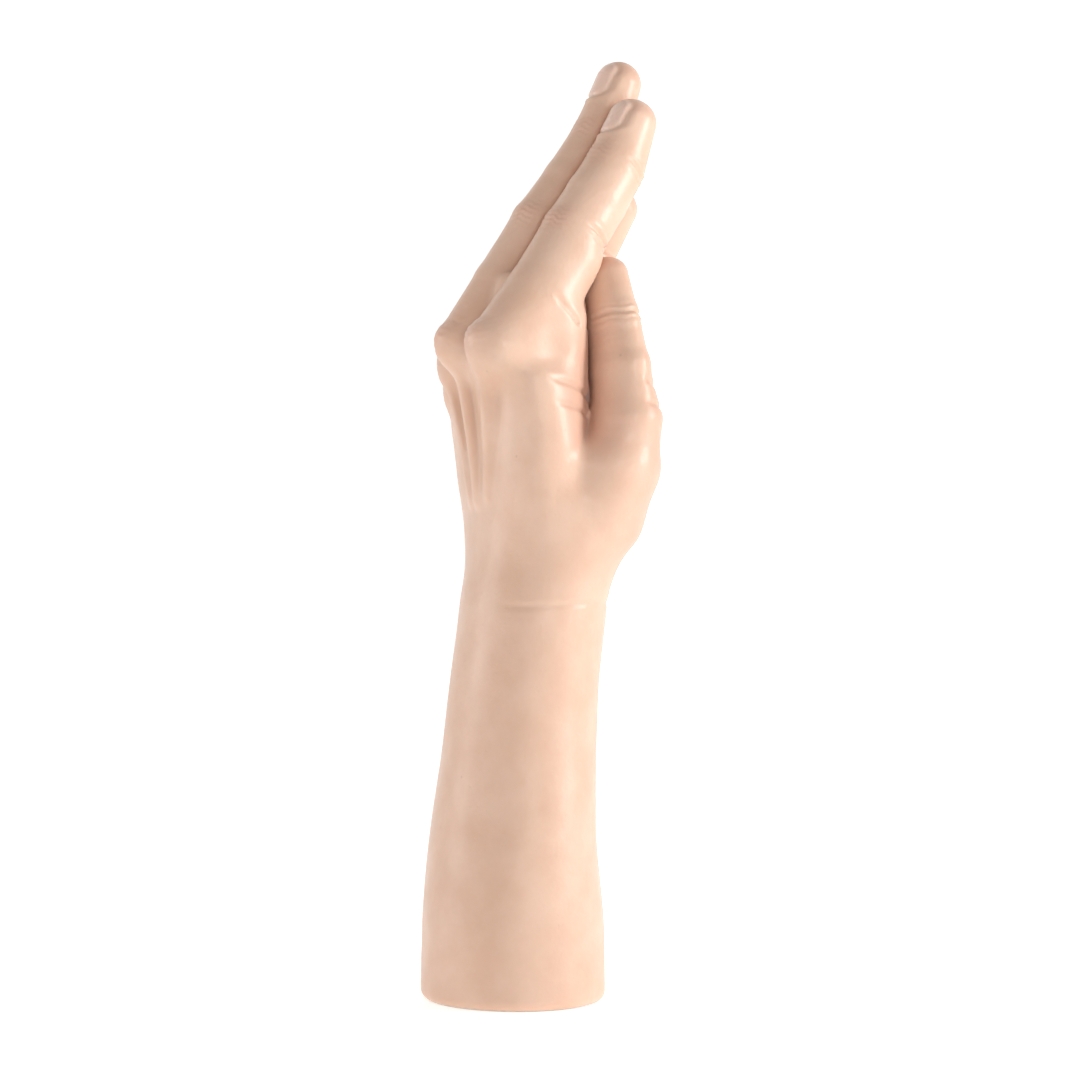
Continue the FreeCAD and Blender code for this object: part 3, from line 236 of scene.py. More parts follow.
def bar_distance(points, a, b, depth, breadth, side_hint):
    """Distance to a tapered bar with oval sections: the front-to-back reach is scaled to the breadth."""
    along, side, front = axes_of(a, b, side_hint)
    length = np.linalg.norm(b - a)
    rel = points - a
    w = rel @ along
    t = np.clip(w / length, 0, 1)
    d = depth[0] + (depth[1] - depth[0]) * t
    s = breadth[0] + (breadth[1] - breadth[0]) * t
    u = (rel @ front) * (s / d)
    v = rel @ side
    over = w - t * length
    return (np.sqrt(u * u + v * v + over * over) - s) * np.minimum(1.0, d / s)


class Field:
    """Distances on a grid of cells between two corners, in millimetres."""

    def __init__(self, low, high, cell):
        self.low, self.cell = np.array(low, np.float32), cell
        self.count = np.ceil((np.array(high) - self.low) / cell).astype(int) + 1
        self.axes = [(self.low[k] + cell * np.arange(self.count[k])).astype(np.float32) for k in range(3)]
        self.values = np.full(self.count, FAR, np.float32)

    def window(self, low, high):
        """Slices of the grid round a box, and the points in them."""
        cuts = []
        for k in range(3):
            a = int(np.clip((low[k] - self.low[k]) / self.cell, 0, self.count[k] - 1))
            b = int(np.clip((high[k] - self.low[k]) / self.cell + 2, a + 1, self.count[k]))
            cuts.append(slice(a, b))
        grid = np.meshgrid(*(self.axes[k][cuts[k]] for k in range(3)), indexing="ij")
        return tuple(cuts), np.stack(grid, -1)

    def join_bar(self, a, b, depth, breadth, side_hint, k):
        """Joins a tapered bar to the field with softness k."""
        reach = max(*depth, *breadth) + k + 3
        cuts, points = self.window(np.minimum(a, b) - reach, np.maximum(a, b) + reach)
        d = bar_distance(points, a, b, depth, breadth, side_hint)
        self.values[cuts] = smooth_min(self.values[cuts], d, k)

    def join_digit(self, name, k=0.8):
        """Joins a whole digit, bar by bar."""
        nodes = DIGITS[name]
        for (p0, d0, b0), (p1, d1, b1) in zip(nodes, nodes[1:]):
            self.join_bar(vec(*p0), vec(*p1), (d0, d1), (b0, b1), SIDE_HINT[name], k)


def trunk_distance(field):
    """Distance to the stacked ovals of the forearm and palm, ended at the palm's top.

    At each height the oval is |x/a|^n + |y/b|^n = 1, where n grows from 2 to 2.24 over the wrist. The
    distance is the oval's own measure less 1, over the steepness of that measure.
    """
    z = field.axes[2]
    rows = along_table(TRUNK, z).astype(np.float32)
    x = (field.axes[0][:, None, None] - rows[:, 0]) / rows[:, 2]
    y = (field.axes[1][None, :, None] - rows[:, 1]) / rows[:, 3]
    power = 2.0 * (1.0 + 0.12 * steady((z - 128) / 30))  # squarer across the palm than round the forearm
    rho = (np.abs(x) ** power + np.abs(y) ** power) ** (1 / power)
    slope = np.sqrt((x / rows[:, 2]) ** 2 + (y / rows[:, 3]) ** 2) / np.maximum(np.sqrt(x * x + y * y), 1e-4)
    d = (rho - 1) / np.maximum(slope, 1e-4)
    over = np.broadcast_to(z - PALM_TOP, d.shape)
    inside = np.maximum(d, over)
    rounded = np.sqrt(np.maximum(d + PALM_EDGE, 0) ** 2 + np.maximum(over + PALM_EDGE, 0) ** 2) - PALM_EDGE
    return np.where((d > -PALM_EDGE) & (over > -PALM_EDGE), rounded, inside).astype(np.float32)


def hem_and_pocket(field, hem):
    """Rounds the lower edge and leaves the room the base plate stands in."""
    z = field.axes[2]
    rows = along_table(TRUNK, np.zeros(1))[0]
    x = (field.axes[0][:, None, None] - rows[0]) / rows[2]
    y = (field.axes[1][None, :, None] - rows[1]) / rows[3]
    side = (np.sqrt(x * x + y * y) - 1) * rows[2]
    near = z < 30
    d = field.values[:, :, near]
    below = -z[near]
    corner = np.sqrt(np.maximum(d + hem, 0) ** 2 + np.maximum(below + hem, 0) ** 2) - hem
    d = np.where((d > -hem) & (below > -hem), corner, np.maximum(d, below))
    pocket = np.maximum(side + PLATE_STEP, z[near] - PLATE_TOP)
    field.values[:, :, near] = np.maximum(d, -pocket).astype(np.float32)


def glove_field(cell, hem):
    """The whole glove's field, with the palm's less the thumb's kept as CACHE["parting"].

    Neighbouring fingers meet at sharp lines, deepened by a bell where their distances are equal. Above the
    slot's start the palm is cut back to the slot's width outside the thumb.
    """
    hand = Field(FIELD_LOW, FIELD_HIGH, cell)
    hand.values[:] = trunk_distance(hand)
    for a, b, r0, r1, k in PADS:
        hand.join_bar(vec(*a), vec(*b), (r0, r1), (r0, r1), vec(0, 1, 0.01), k)
    fingers = None
    for name in ("index", "middle", "ring", "little"):
        digit = Field(FIELD_LOW, FIELD_HIGH, cell)
        digit.join_digit(name)
        if fingers is None:
            fingers = digit.values
            continue
        deep, wide = (3.4, 1.5) if name == "middle" else (1.8, 1.0)
        groove = deep * bell(fingers - digit.values, wide) * steady((digit.axes[2] - 220) / 11)
        fingers = smooth_min(fingers, digit.values, 0.5) + groove.astype(np.float32)
    z = hand.axes[2]
    blend = 5.0 - 3.4 * steady((z - 208) / 14)
    hand.values = smooth_min(hand.values, fingers, blend.astype(np.float32))
    thumb = Field(FIELD_LOW, FIELD_HIGH, cell)
    thumb.join_digit("thumb", 1.6)
    gap = SLOT_WIDTH * steady((z - SLOT_START) / 6) - thumb.values
    hand.values = np.where(z > SLOT_START, np.maximum(hand.values, gap), hand.values).astype(np.float32)
    CACHE["parting"] = Field(FIELD_LOW, FIELD_HIGH, cell)
    CACHE["parting"].values = hand.values - thumb.values
    soft = 10.0 - 9.4 * steady((z - 168) / 14)
    hand.values = smooth_min(hand.values, thumb.values, soft.astype(np.float32))
    hem_and_pocket(hand, hem)
    return hand


# ---------------------------------------------------------------- meshing

CORNERS = np.array([(i, j, k) for i in (0, 1) for j in (0, 1) for k in (0, 1)])
EDGES = [(a, b) for a in range(8) for b in range(a + 1, 8) if np.abs(CORNERS[a] - CORNERS[b]).sum() == 1]


def mesh_field(field):
    """Surface net of the zero level: one point per crossed cell, one quad per crossed grid edge."""
    inside = field.values < 0
    n = np.array(inside.shape) - 1
    total = np.zeros(n, np.uint8)
    for i, j, k in CORNERS:
        total += inside[i : n[0] + i, j : n[1] + j, k : n[2] + k]
    cells = np.argwhere((total > 0) & (total < 8))
    number = np.full(n, -1, np.int32)
    number[tuple(cells.T)] = np.arange(len(cells))
    values = np.stack([field.values[tuple((cells + c).T)] for c in CORNERS], 1)
    points = np.zeros((len(cells), 3))
    hits = np.zeros(len(cells))
    for a, b in EDGES:
        va, vb = values[:, a], values[:, b]
        crossed = (va < 0) != (vb < 0)
        t = np.where(crossed, va / np.where(crossed, va - vb, 1), 0)[:, None]
        points += np.where(crossed[:, None], CORNERS[a] + (CORNERS[b] - CORNERS[a]) * t, 0)
        hits += crossed
    points = field.low + field.cell * (cells + points / hits[:, None])
    quads = []
    for axis in range(3):
        u, v = (axis + 1) % 3, (axis + 2) % 3
        head = [slice(None)] * 3
        head[axis] = slice(0, -1)
        tail = [slice(None)] * 3
        tail[axis] = slice(1, None)
        a, b = inside[tuple(head)], inside[tuple(tail)]
        spots = np.argwhere(a != b)
        spots = spots[(spots[:, u] > 0) & (spots[:, v] > 0) & (spots[:, u] < n[u]) & (spots[:, v] < n[v])]
        step_u, step_v = np.eye(3, dtype=int)[u], np.eye(3, dtype=int)[v]
        ring = [spots - step_u - step_v, spots - step_v, spots, spots - step_u]
        quad = np.stack([number[tuple(r.T)] for r in ring], 1)
        flip = ~a[tuple(spots.T)]
        quad[flip] = quad[flip][:, ::-1]
        quads.append(quad)
    return points, np.concatenate(quads)


def sample(field, points):
    """The field between grid points, straight along each axis."""
    g = (points - field.low) / field.cell
    i = np.clip(np.floor(g).astype(int), 0, np.array(field.values.shape) - 2)
    f = g - i
    out = np.zeros(len(points))
    for c in CORNERS:
        weight = np.prod(np.where(c, f, 1 - f), axis=1)
        out += weight * field.values[tuple((i + c).T)]
    return out


def slope_of(field, points, step=0.5):
    """Unit direction in which the field grows, from points a step away on each side."""
    grad = np.stack([sample(field, points + e) - sample(field, points - e) for e in np.eye(3) * step], 1)
    return grad / np.maximum(np.linalg.norm(grad, axis=1, keepdims=True), 1e-9)


def relax(points, quads, field, rounds=4):
    """Evens the points out along the surface: towards the mean of their neighbours, then back to the level."""
    ends = np.concatenate([quads[:, [0, 1]], quads[:, [1, 2]], quads[:, [2, 3]], quads[:, [3, 0]]])
    count = np.bincount(ends.ravel(), minlength=len(points))[:, None]
    for _ in range(rounds):
        mean = np.zeros_like(points)
        for k in range(3):
            mean[:, k] = np.bincount(ends[:, 0], points[ends[:, 1], k], len(points))
            mean[:, k] += np.bincount(ends[:, 1], points[ends[:, 0], k], len(points))
        mean /= np.maximum(count, 1)
        points = points + 0.6 * (mean - points)
        normal = slope_of(field, points)
        points = points - normal * np.clip(sample(field, points), -0.5, 0.5)[:, None]
    return points, slope_of(field, points)


# ---------------------------------------------------------------- details of the surface


def digit_frame(points, name, k):
    """Coordinates of points along and across bar k of a digit, the bar's length and its front direction."""
    a, b = vec(*DIGITS[name][k][0]), vec(*DIGITS[name][k + 1][0])
    along, side, front = axes_of(a, b, SIDE_HINT[name])
    rel = points - a
    return rel @ along, rel @ side, float(np.linalg.norm(b - a)), front


def near_digit(points, name):
    """Distance of points to a digit's own surface."""
    best = np.full(len(points), 9.0)
    nodes = DIGITS[name]
    for (p0, d0, b0), (p1, d1, b1) in zip(nodes, nodes[1:]):
        d = bar_distance(points, vec(*p0), vec(*p1), (d0, d1), (b0, b1), SIDE_HINT[name])
        best = np.minimum(best, d)
    return best


def nail_outline(w, v, half, start, end):
    """Signed distance to a nail: a rectangle with round corners, negative on the nail."""
    centre, reach = (start + end) / 2, (end - start) / 2
    corner = half * 0.62
    u = np.abs(w - centre) - (reach - corner)
    s = np.abs(v) - (half - corner)
    return np.sqrt(np.maximum(u, 0) ** 2 + np.maximum(s, 0) ** 2) + np.minimum(np.maximum(u, s), 0) - corner


def finger_details(points, normals, offset, nail, flush, crease):
    """Creases in front, wrinkles behind and the nail of each digit, as offsets along the surface.

    A crease is a bell of the distance along the bar from its joint, a wrinkle a raised cosine under a wide
    bell, and a nail's groove a bell of the distance to its outline. Each fades where the skin turns away.
    """
    names = list(DIGITS)
    reach = np.stack([near_digit(points, name) for name in names], 1)
    owner = reach.argmin(1)
    for i, name in enumerate(names):
        mine = (owner == i) & (reach[:, i] < 3)
        p, nrm = points[mine], normals[mine]
        move = np.zeros(len(p))
        last = len(DIGITS[name]) - 2
        folds = {"thumb": [(4, 1.0)]}.get(name, [(1, 1.0), (3, 0.8)])
        for bar, strength in folds:
            w, v, length, front = digit_frame(p, name, bar)
            facing = nrm @ front
            turn = steady((facing + 0.15) / 0.5)
            at = w - length + 0.10 * v + 0.35 * np.sin(v * 0.9 + i)
            for shift, depth, width in ((0.4, 1.0, 0.75), (-1.9, 0.45, 0.55), (2.6, 0.3, 0.5)):
                move -= crease * strength * depth * bell(at - shift, width) * turn
            back = steady((-facing - 0.25) / 0.5)
            wave = w - length + 0.5 * np.sin(v * 0.7 + 2 * i) + 0.3 * np.sin(v * 1.9)
            spread = bell(w - length, 4.4) * back
            move -= 0.30 * crease * strength * spread * (0.5 + 0.5 * np.cos(wave * 2 * np.pi / 1.75)) ** 3
            move += 0.35 * strength * bell(w - length, 5.0) * back
            pink = 0.55 * bell(w - length, 4.5) * back
            flush[mine] = np.maximum(flush[mine], pink)
        if name != "thumb":
            w, v, length, front = digit_frame(p, name, 0)
            turn = steady(((nrm @ front) + 0.1) / 0.5)
            move -= crease * 0.9 * bell(w - 0.92 * length + 0.08 * v, 0.8) * turn
        w, v, length, front = digit_frame(p, name, last)
        half = DIGITS[name][-1][2] * 0.80
        facing = -(nrm @ front)
        d = nail_outline(w - length, v, half, -7.2, 5.2)
        behind = steady((facing - 0.02) / 0.25)
        plate = steady(0.5 - d / 0.8) * behind
        move += 0.16 * plate - 0.62 * bell(d - 0.15, 0.6) * behind * steady((5.6 - (w - length)) / 2.5)
        move += 0.22 * bell(d - 1.5, 0.8) * behind * steady((3.0 - (w - length)) / 3)
        nail[mine] = np.maximum(nail[mine], plate)
        tip = steady((w - length + 2.0) / 6.0)
        flush[mine] = np.maximum(flush[mine], 0.45 * tip * (1 - plate))
        offset[mine] += move


def hand_details(points, normals, offset, flush, crease):
    """Knuckle wrinkles, palm lines, the tint at the fold of the first web and the wrist's faint crease."""
    x, y, z = points.T
    back = steady((-normals[:, 0] - 0.2) / 0.5)
    for name in ("index", "middle", "ring", "little"):
        cy, cz = DIGITS[name][0][0][1:]
        away = np.sqrt((y - cy) ** 2 + (z - cz - 4) ** 2)
        wave = z + 0.7 * np.sin(y * 0.8 + cy) + 0.4 * np.sin(y * 1.7)
        offset -= 0.22 * crease * bell(away, 6.5) * back * (0.5 + 0.5 * np.cos(wave * 2 * np.pi / 2.1)) ** 2
        flush[:] = np.maximum(flush, 0.5 * bell(away, 8.0) * back)
    palm = steady((normals[:, 0] - 0.1) / 0.5) * steady((z - 126) / 20) * steady((212 - z) / 10)
    lines = [
        (z - 190 - 0.22 * (y - 6) - 0.01 * (y - 6) ** 2, 1.0, 0.9),
        (z - 181 + 0.30 * (y + 8), 0.9, 0.8),
        (y + 3 - 0.010 * (z - 168) ** 2, 1.1, 0.9),
    ]
    for value, width, depth in lines:
        offset -= 0.8 * crease * depth * bell(value, width) * palm
    flush[:] = np.maximum(flush, 0.75 * palm)
    wrist = np.abs(z - 126.5 - 0.06 * y - 0.5 * np.sin(x * 0.15))
    offset -= 0.35 * crease * bell(wrist, 0.9) * steady((normals[:, 0] * 0.7 - normals[:, 1] + 0.2) / 0.6)
    soft = 0.35 * np.sin(x * 0.11 + 1.3 * np.sin(z * 0.045)) * np.sin(y * 0.10 + 0.7) * np.sin(z * 0.07 + 0.4)
    offset += soft * steady((200 - z) / 30) * steady((z - 8) / 10)
    web = np.sqrt((x - 16) ** 2 + (z - 181) ** 2)
    flush[:] = np.maximum(flush, 0.8 * bell(web, 9.0) * steady((-normals[:, 1] + 0.6) / 0.8))


# ---------------------------------------------------------------- pieces

def glove_surface(settings):
    """Points, outward directions, quads and masks of the whole glove, in millimetres."""
    if "points" in CACHE:
        return CACHE
    field = glove_field(settings.cell / MM * (1.0), settings.hem / MM)
    CACHE["field"] = field
    points, quads = mesh_field(field)
    points, normals = relax(points, quads, field)
    thumb_side = sample(CACHE["parting"], points) > 0
    offset = np.zeros(len(points))
    nail = np.zeros(len(points))
    flush = np.zeros(len(points))
    crease = settings.crease / MM
    finger_details(points, normals, offset, nail, flush, crease)
    hand_details(points, normals, offset, flush, crease)
    edge = steady((points[:, 2] - 2.5) / 3)
    points = points + normals * (offset * edge)[:, None]
    thumb = thumb_side & (points[:, 2] > 183) & (points[:, 0] > 12)
    CACHE.update(points=points, quads=quads, nail=nail, flush=flush, thumb=thumb)
    return CACHE


KNUCKLE_START = vec(-13, 0, 198.5)
KNUCKLE_END = vec(-4, 0, 215)
THUMB_SEAM = 185.0


def point_directions(points, quads):
    """Outward direction at each point: the mean of its faces' directions, weighted by their area."""
    a, b, c, d = (points[quads[:, k]] for k in range(4))
    face = np.cross(c - a, d - b)
    out = np.zeros_like(points)
    for k in range(3):
        out[:, k] = np.bincount(quads.ravel(), np.repeat(face[:, k], 4), len(points))
    return out / np.maximum(np.linalg.norm(out, axis=1, keepdims=True), 1e-12)


def glove_piece(name, pick):
    """A piece of the glove from the quads picked by a test, keeping the whole glove's shading at its edges."""
    surface = glove_surface(bpy.context.scene.glove)
    points, quads = surface["points"], surface["quads"]
    if "directions" not in surface:
        surface["directions"] = point_directions(points, quads)
        surface["zones"] = zones(points, quads, surface["thumb"])
    chosen = quads[surface["zones"] == pick]
    used, compact = np.unique(chosen, return_inverse=True)
    compact = compact.reshape(chosen.shape)
    mesh = bpy.data.meshes.new(name)
    mesh.from_pydata([], [], [])
    mesh.vertices.add(len(used))
    mesh.vertices.foreach_set("co", (points[used] * MM).astype(np.float32).ravel())
    mesh.loops.add(compact.size)
    mesh.loops.foreach_set("vertex_index", compact.astype(np.int32).ravel())
    mesh.polygons.add(len(compact))
    mesh.polygons.foreach_set("loop_start", np.arange(0, compact.size, 4, dtype=np.int32))
    mesh.update(calc_edges=True)
    mesh.validate()
    mesh.shade_smooth()
    for key in ("nail", "flush"):
        layer = mesh.attributes.new(key, "FLOAT", "POINT")
        layer.data.foreach_set("value", surface[key][used].astype(np.float32))
    if len(mesh.vertices) == len(used):
        mesh.normals_split_custom_set_from_vertices(surface["directions"][used].astype(np.float32).tolist())
    obj = bpy.data.objects.new(name, mesh)
    bpy.context.scene.collection.objects.link(obj)
    return obj


def zones(points, quads, thumb):
    """0 for the sleeve, 1 for the fingers and 2 for the thumb, by each quad's middle."""
    middle = points[quads].mean(1)
    way = KNUCKLE_END - KNUCKLE_START
    zone = (((middle - KNUCKLE_START) @ way) > 0).astype(int)
    zone[thumb[quads].all(1) & (middle[:, 2] > THUMB_SEAM)] = 2
    return zone


KNUCKLE_AXLE = vec(-12, 0, 206)
THUMB_AXLE = vec(23, 0, 183)
WRIST = 128.0
FINGER_TILT, PALM_TILT = -15, 8  # the fingers' and palm's foam end at planes through the knuckle axle
FRAME_ROOM = (-19, -13.2, 126), (12.4, 13.2, 213)
ARM_ROOM = (8, -13.2, 140), (29, -9.8, 190)


def below_plane(x, z, point, degrees):
    """Height above a plane through a point, rising towards +X by degrees."""
    turn = math.radians(degrees)
    return (z - point[2]) * math.cos(turn) - (x - point[0]) * math.sin(turn)


def round_room(x, z, centre, radius):
    """Distance to a cylinder across the hand: the distance to its axis less its radius."""
    return np.sqrt((x - centre[0]) ** 2 + (z - centre[2]) ** 2) - radius


def box_room(axes, low, high):
    """Distance to a box: the greatest of the distances past its faces."""
    a, b, c = (np.maximum(low[k] - axes[k], axes[k] - high[k]) for k in range(3))
    return np.maximum(np.maximum(a, b), c)


def foam_piece(name, zone):
    """A foam core: the glove's field set in by its wall, cut at the joints and hollowed round the metal.

    Every cut is a distance, negative where foam may be; the core is the greatest of them all.
    """
    whole = CACHE["field"]
    step = max(1, round(1.6 / whole.cell))
    core = Field(whole.low, whole.low + whole.cell * (np.array(whole.values.shape) - 1), whole.cell * step)
    shape = whole.values[::step, ::step, ::step]
    core.count = np.array(shape.shape)
    core.axes = [(core.low[k] + core.cell * np.arange(core.count[k])).astype(np.float32) for k in range(3)]
    x, y, z = (core.axes[0][:, None, None], core.axes[1][None, :, None], core.axes[2][None, None, :])
    fingers = below_plane(x, z, KNUCKLE_AXLE, FINGER_TILT)
    palm = below_plane(x, z, KNUCKLE_AXLE, PALM_TILT)
    digit = Field(core.low, core.low + core.cell * (core.count - 1), core.cell)
    digit.join_digit("thumb")
    thumb = digit.values[: core.count[0], : core.count[1], : core.count[2]]
    metal = box_room((x, y, z), *FRAME_ROOM)
    arm = box_room((x, y, z), *ARM_ROOM)
    axle = np.maximum(round_room(x, z, THUMB_AXLE, 9.0), np.maximum(-25.0 - y, y + 9.8))
    tube = np.maximum(np.sqrt(x * x + y * y) - (11.3 + 3.2 * steady((z - 112) / 2)), z - WRIST)
    foot = np.maximum(np.sqrt(x * x + y * y) - 22.4, z - 10)
    cuts = {
        "forearm": [z - (WRIST - 0.3), 5.4 - z, -tube, -foot],
        "hand": [WRIST + 0.3 - z, fingers + 0.3, palm + 0.3,
                 np.minimum(z - THUMB_AXLE[2] + 0.3, 2.6 - thumb), -metal, -arm, -axle],
        "fingers": [-fingers, -round_room(x, z, KNUCKLE_AXLE, 7.5), 2.6 - thumb],
        "thumb": [THUMB_AXLE[2] + 0.3 - z, thumb + WALL, -axle],
    }[zone]  # fmt: skip
    solid = shape + WALL
    for cut in cuts:
        solid = np.maximum(solid, cut)
    core.values = solid.astype(np.float32)
    points, quads = mesh_field(core)
    mesh = bpy.data.meshes.new(name)
    mesh.from_pydata((points * MM).tolist(), [], quads.tolist())
    mesh.shade_smooth()
    obj = bpy.data.objects.new(name, mesh)
    bpy.context.scene.collection.objects.link(obj)
    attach(obj, zone)
    return obj


# ---------------------------------------------------------------- finishes


class Nodes:
    """Short hand for building a material's nodes. Each method gives the new node's output."""

    def __init__(self, name):
        self.material = bpy.data.materials.new(name)
        self.material.use_nodes = True
        self.tree = self.material.node_tree
        self.shader = next(n for n in self.tree.nodes if n.type == "BSDF_PRINCIPLED")
        self.coords = self.tree.nodes.new("ShaderNodeTexCoord").outputs["Object"]

    def add(self, kind, **settings):
        """A new node of a kind, with its settings."""
        node = self.tree.nodes.new(kind)
        for key, value in settings.items():
            setattr(node, key, value)
        return node

    def link(self, source, target):
        """Joins an output to an input."""
        self.tree.links.new(source, target)

    def noise(self, scale, detail=3.0, rough=0.5, stretch=None):
        """Cloudy noise on the object's coordinates, stretched along an axis where asked."""
        node = self.add("ShaderNodeTexNoise")
        node.inputs["Scale"].default_value = scale
        node.inputs["Detail"].default_value = detail
        node.inputs["Roughness"].default_value = rough
        source = self.coords
        if stretch:
            mapping = self.add("ShaderNodeMapping")
            mapping.inputs["Scale"].default_value = stretch
            self.link(source, mapping.inputs["Vector"])
            source = mapping.outputs["Vector"]
        self.link(source, node.inputs["Vector"])
        return node.outputs["Fac"]

    def pits(self, scale):
        """Distance to the nearest of a cloud of points."""
        node = self.add("ShaderNodeTexVoronoi")
        node.inputs["Scale"].default_value = scale
        self.link(self.coords, node.inputs["Vector"])
        return node.outputs["Distance"]

    def span(self, value, low, high, to_low=0.0, to_high=1.0):
        """A value carried from one range to another, held at the ends."""
        node = self.add("ShaderNodeMapRange")
        for key, number in zip(("From Min", "From Max", "To Min", "To Max"), (low, high, to_low, to_high)):
            node.inputs[key].default_value = number
        self.link(value, node.inputs["Value"])
        return node.outputs["Result"]

    def mix(self, factor, a, b):
        """Colour a where the factor is 0 and b where it is 1."""
        node = self.add("ShaderNodeMix", data_type="RGBA")
        self.link(factor, node.inputs["Factor"])
        for value, socket in ((a, node.inputs["A"]), (b, node.inputs["B"])):
            if isinstance(value, (tuple, list)) or hasattr(value, "hsv"):
                socket.default_value = (*value[:3], 1)
            else:
                self.link(value, socket)
        return node.outputs["Result"]

    def math(self, operation, a, b):
        """Two values joined by an operation."""
        node = self.add("ShaderNodeMath", operation=operation)
        for value, socket in zip((a, b), node.inputs):
            if isinstance(value, (int, float)):
                socket.default_value = value
            else:
                self.link(value, socket)
        return node.outputs["Value"]

    def attribute(self, name):
        """A value stored on the mesh's points."""
        return self.add("ShaderNodeAttribute", attribute_name=name).outputs["Fac"]

    def bump(self, height, distance, strength=1.0, below=None):
        """Shading from a height, over another bump where one is given."""
        node = self.add("ShaderNodeBump")
        node.inputs["Distance"].default_value = distance
        node.inputs["Strength"].default_value = strength
        self.link(height, node.inputs["Height"])
        if below is not None:
            self.link(below, node.inputs["Normal"])
        return node.outputs["Normal"]

    def set(self, **values):
        """Links or sets the shader's inputs, named with underscores for spaces."""
        for key, value in values.items():
            socket = self.shader.inputs[key.replace("_", " ")]
            if hasattr(value, "links"):
                self.link(value, socket)
            elif isinstance(value, (tuple, list)) and len(value) == 3 and socket.type == "RGBA":
                socket.default_value = (*value, 1)
            else:
                socket.default_value = value


def glove_finish():
    """Moulded elastomer: even skin tone with faint mottling, fine skin grain, small pits and a soft gloss."""
    glove = bpy.context.scene.glove
    n = Nodes("moulded_skin")
    mottle = n.noise(70, 4, 0.55)
    blotch = n.noise(22, 2, 0.5)
    skin, flush, nail = (tuple(c) for c in (glove.skin, glove.flush, glove.nail))
    deep = tuple(c * f for c, f in zip(skin, (0.93, 0.88, 0.84)))
    base = n.mix(n.span(mottle, 0.35, 0.68), skin, deep)
    flushed = n.math("MULTIPLY", n.attribute("flush"), n.span(blotch, 0.3, 0.7, 0.55, 1.0))
    base = n.mix(flushed, base, flush)
    speck = n.span(n.pits(150), 0.0, 0.09, 0.5, 0.0)
    rare = n.span(n.noise(28, 1, 0.5), 0.60, 0.66)
    base = n.mix(n.math("MULTIPLY", speck, rare), base, tuple(c * 0.55 for c in skin))
    base = n.mix(n.attribute("nail"), base, nail)
    grain = n.noise(900, 4, 0.6)
    lines = n.pits(620)
    pores = n.span(n.pits(260), 0.0, 0.16, 0.0, 1.0)
    height = n.math("ADD", n.math("MULTIPLY", grain, 0.5), n.math("MULTIPLY", lines, 0.4))
    height = n.math("ADD", height, n.math("MULTIPLY", pores, 0.5))
    smooth = n.math("SUBTRACT", 1.0, n.attribute("nail"))
    normal = n.bump(n.math("MULTIPLY", height, smooth), 0.00012, 0.65)
    normal = n.bump(n.noise(120, 3, 0.5), 0.00035, 0.5, normal)
    rough = n.math("ADD", n.span(mottle, 0.3, 0.7, glove.gloss - 0.04, glove.gloss + 0.05),
                   n.math("MULTIPLY", n.attribute("nail"), -0.14))  # fmt: skip
    n.set(Base_Color=base, Roughness=rough, Normal=normal, IOR=1.43, Subsurface_Weight=0.18,
          Subsurface_Radius=(1.0, 0.45, 0.28), Subsurface_Scale=0.0035, Coat_Weight=0.16,
          Coat_Roughness=0.22)  # fmt: skip
    return n.material


def metal_finish(name, colour, rough, brushed, scratch=0.00002):
    """Bare metal with a machined grain, smudges and fine scratches."""
    n = Nodes(name)
    grain = n.noise(900, 2, 0.5, brushed)
    smudge = n.noise(60, 3, 0.55)
    base = n.mix(n.span(smudge, 0.3, 0.7), colour, tuple(c * 0.82 for c in colour))
    n.set(Base_Color=base, Metallic=1.0, Roughness=n.span(smudge, 0.3, 0.75, rough - 0.06, rough + 0.1),
          Normal=n.bump(grain, scratch, 0.6))  # fmt: skip
    return n.material


def foam_finish():
    """Open-cell foam: pale, matt and full of small round pores, each darkened towards its middle by painted shade.
    """
    n = Nodes("open_cell_foam")
    cells = n.pits(700)
    # painted shade: the colour darkens to (0.50, 0.44, 0.30) towards each pore's centre, standing in for the shade
    # inside the holes; the bump below gives their relief
    painted_pore_shade = n.span(cells, 0.05, 0.5)
    base = n.mix(painted_pore_shade, (0.50, 0.44, 0.30), (0.84, 0.79, 0.62))
    base = n.mix(n.span(n.noise(40, 3), 0.35, 0.7), base, (0.78, 0.71, 0.52))
    n.set(Base_Color=base, Roughness=0.95, Normal=n.bump(cells, 0.0006, 0.9), Specular_IOR_Level=0.2)
    return n.material


def nylon_finish():
    """Off-white moulded nylon with a faint speckle and soft sheen."""
    n = Nodes("moulded_nylon")
    speckle = n.noise(500, 3, 0.6)
    base = n.mix(n.span(speckle, 0.35, 0.65), (0.80, 0.77, 0.70), (0.72, 0.69, 0.61))
    n.set(Base_Color=base, Roughness=n.span(n.noise(90, 2), 0.3, 0.7, 0.42, 0.58),
          Normal=n.bump(speckle, 0.00006, 0.5))  # fmt: skip
    return n.material


SLOT_FINISH = {
    "nylon": nylon_finish,
    "aluminium": lambda: metal_finish("turned_aluminium", (0.76, 0.77, 0.79), 0.34, (1, 1, 30)),
    "steel": lambda: metal_finish("bright_steel", (0.58, 0.58, 0.60), 0.26, (30, 30, 1)),
    "brass_insert": lambda: metal_finish("turned_brass", (0.78, 0.58, 0.27), 0.30, (1, 1, 30)),
}


# ---------------------------------------------------------------- operators


class HAND_OT_sleeve(bpy.types.Operator):
    """Glove over the forearm, wrist and palm."""

    bl_idname = "hand.sleeve"
    bl_label = "Sleeve and palm"

    def execute(self, context):
        piece = glove_piece("sleeve_skin", 0)
        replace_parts(piece, "glove_forearm", "glove_palm")
        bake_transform(piece)
        return {"FINISHED"}


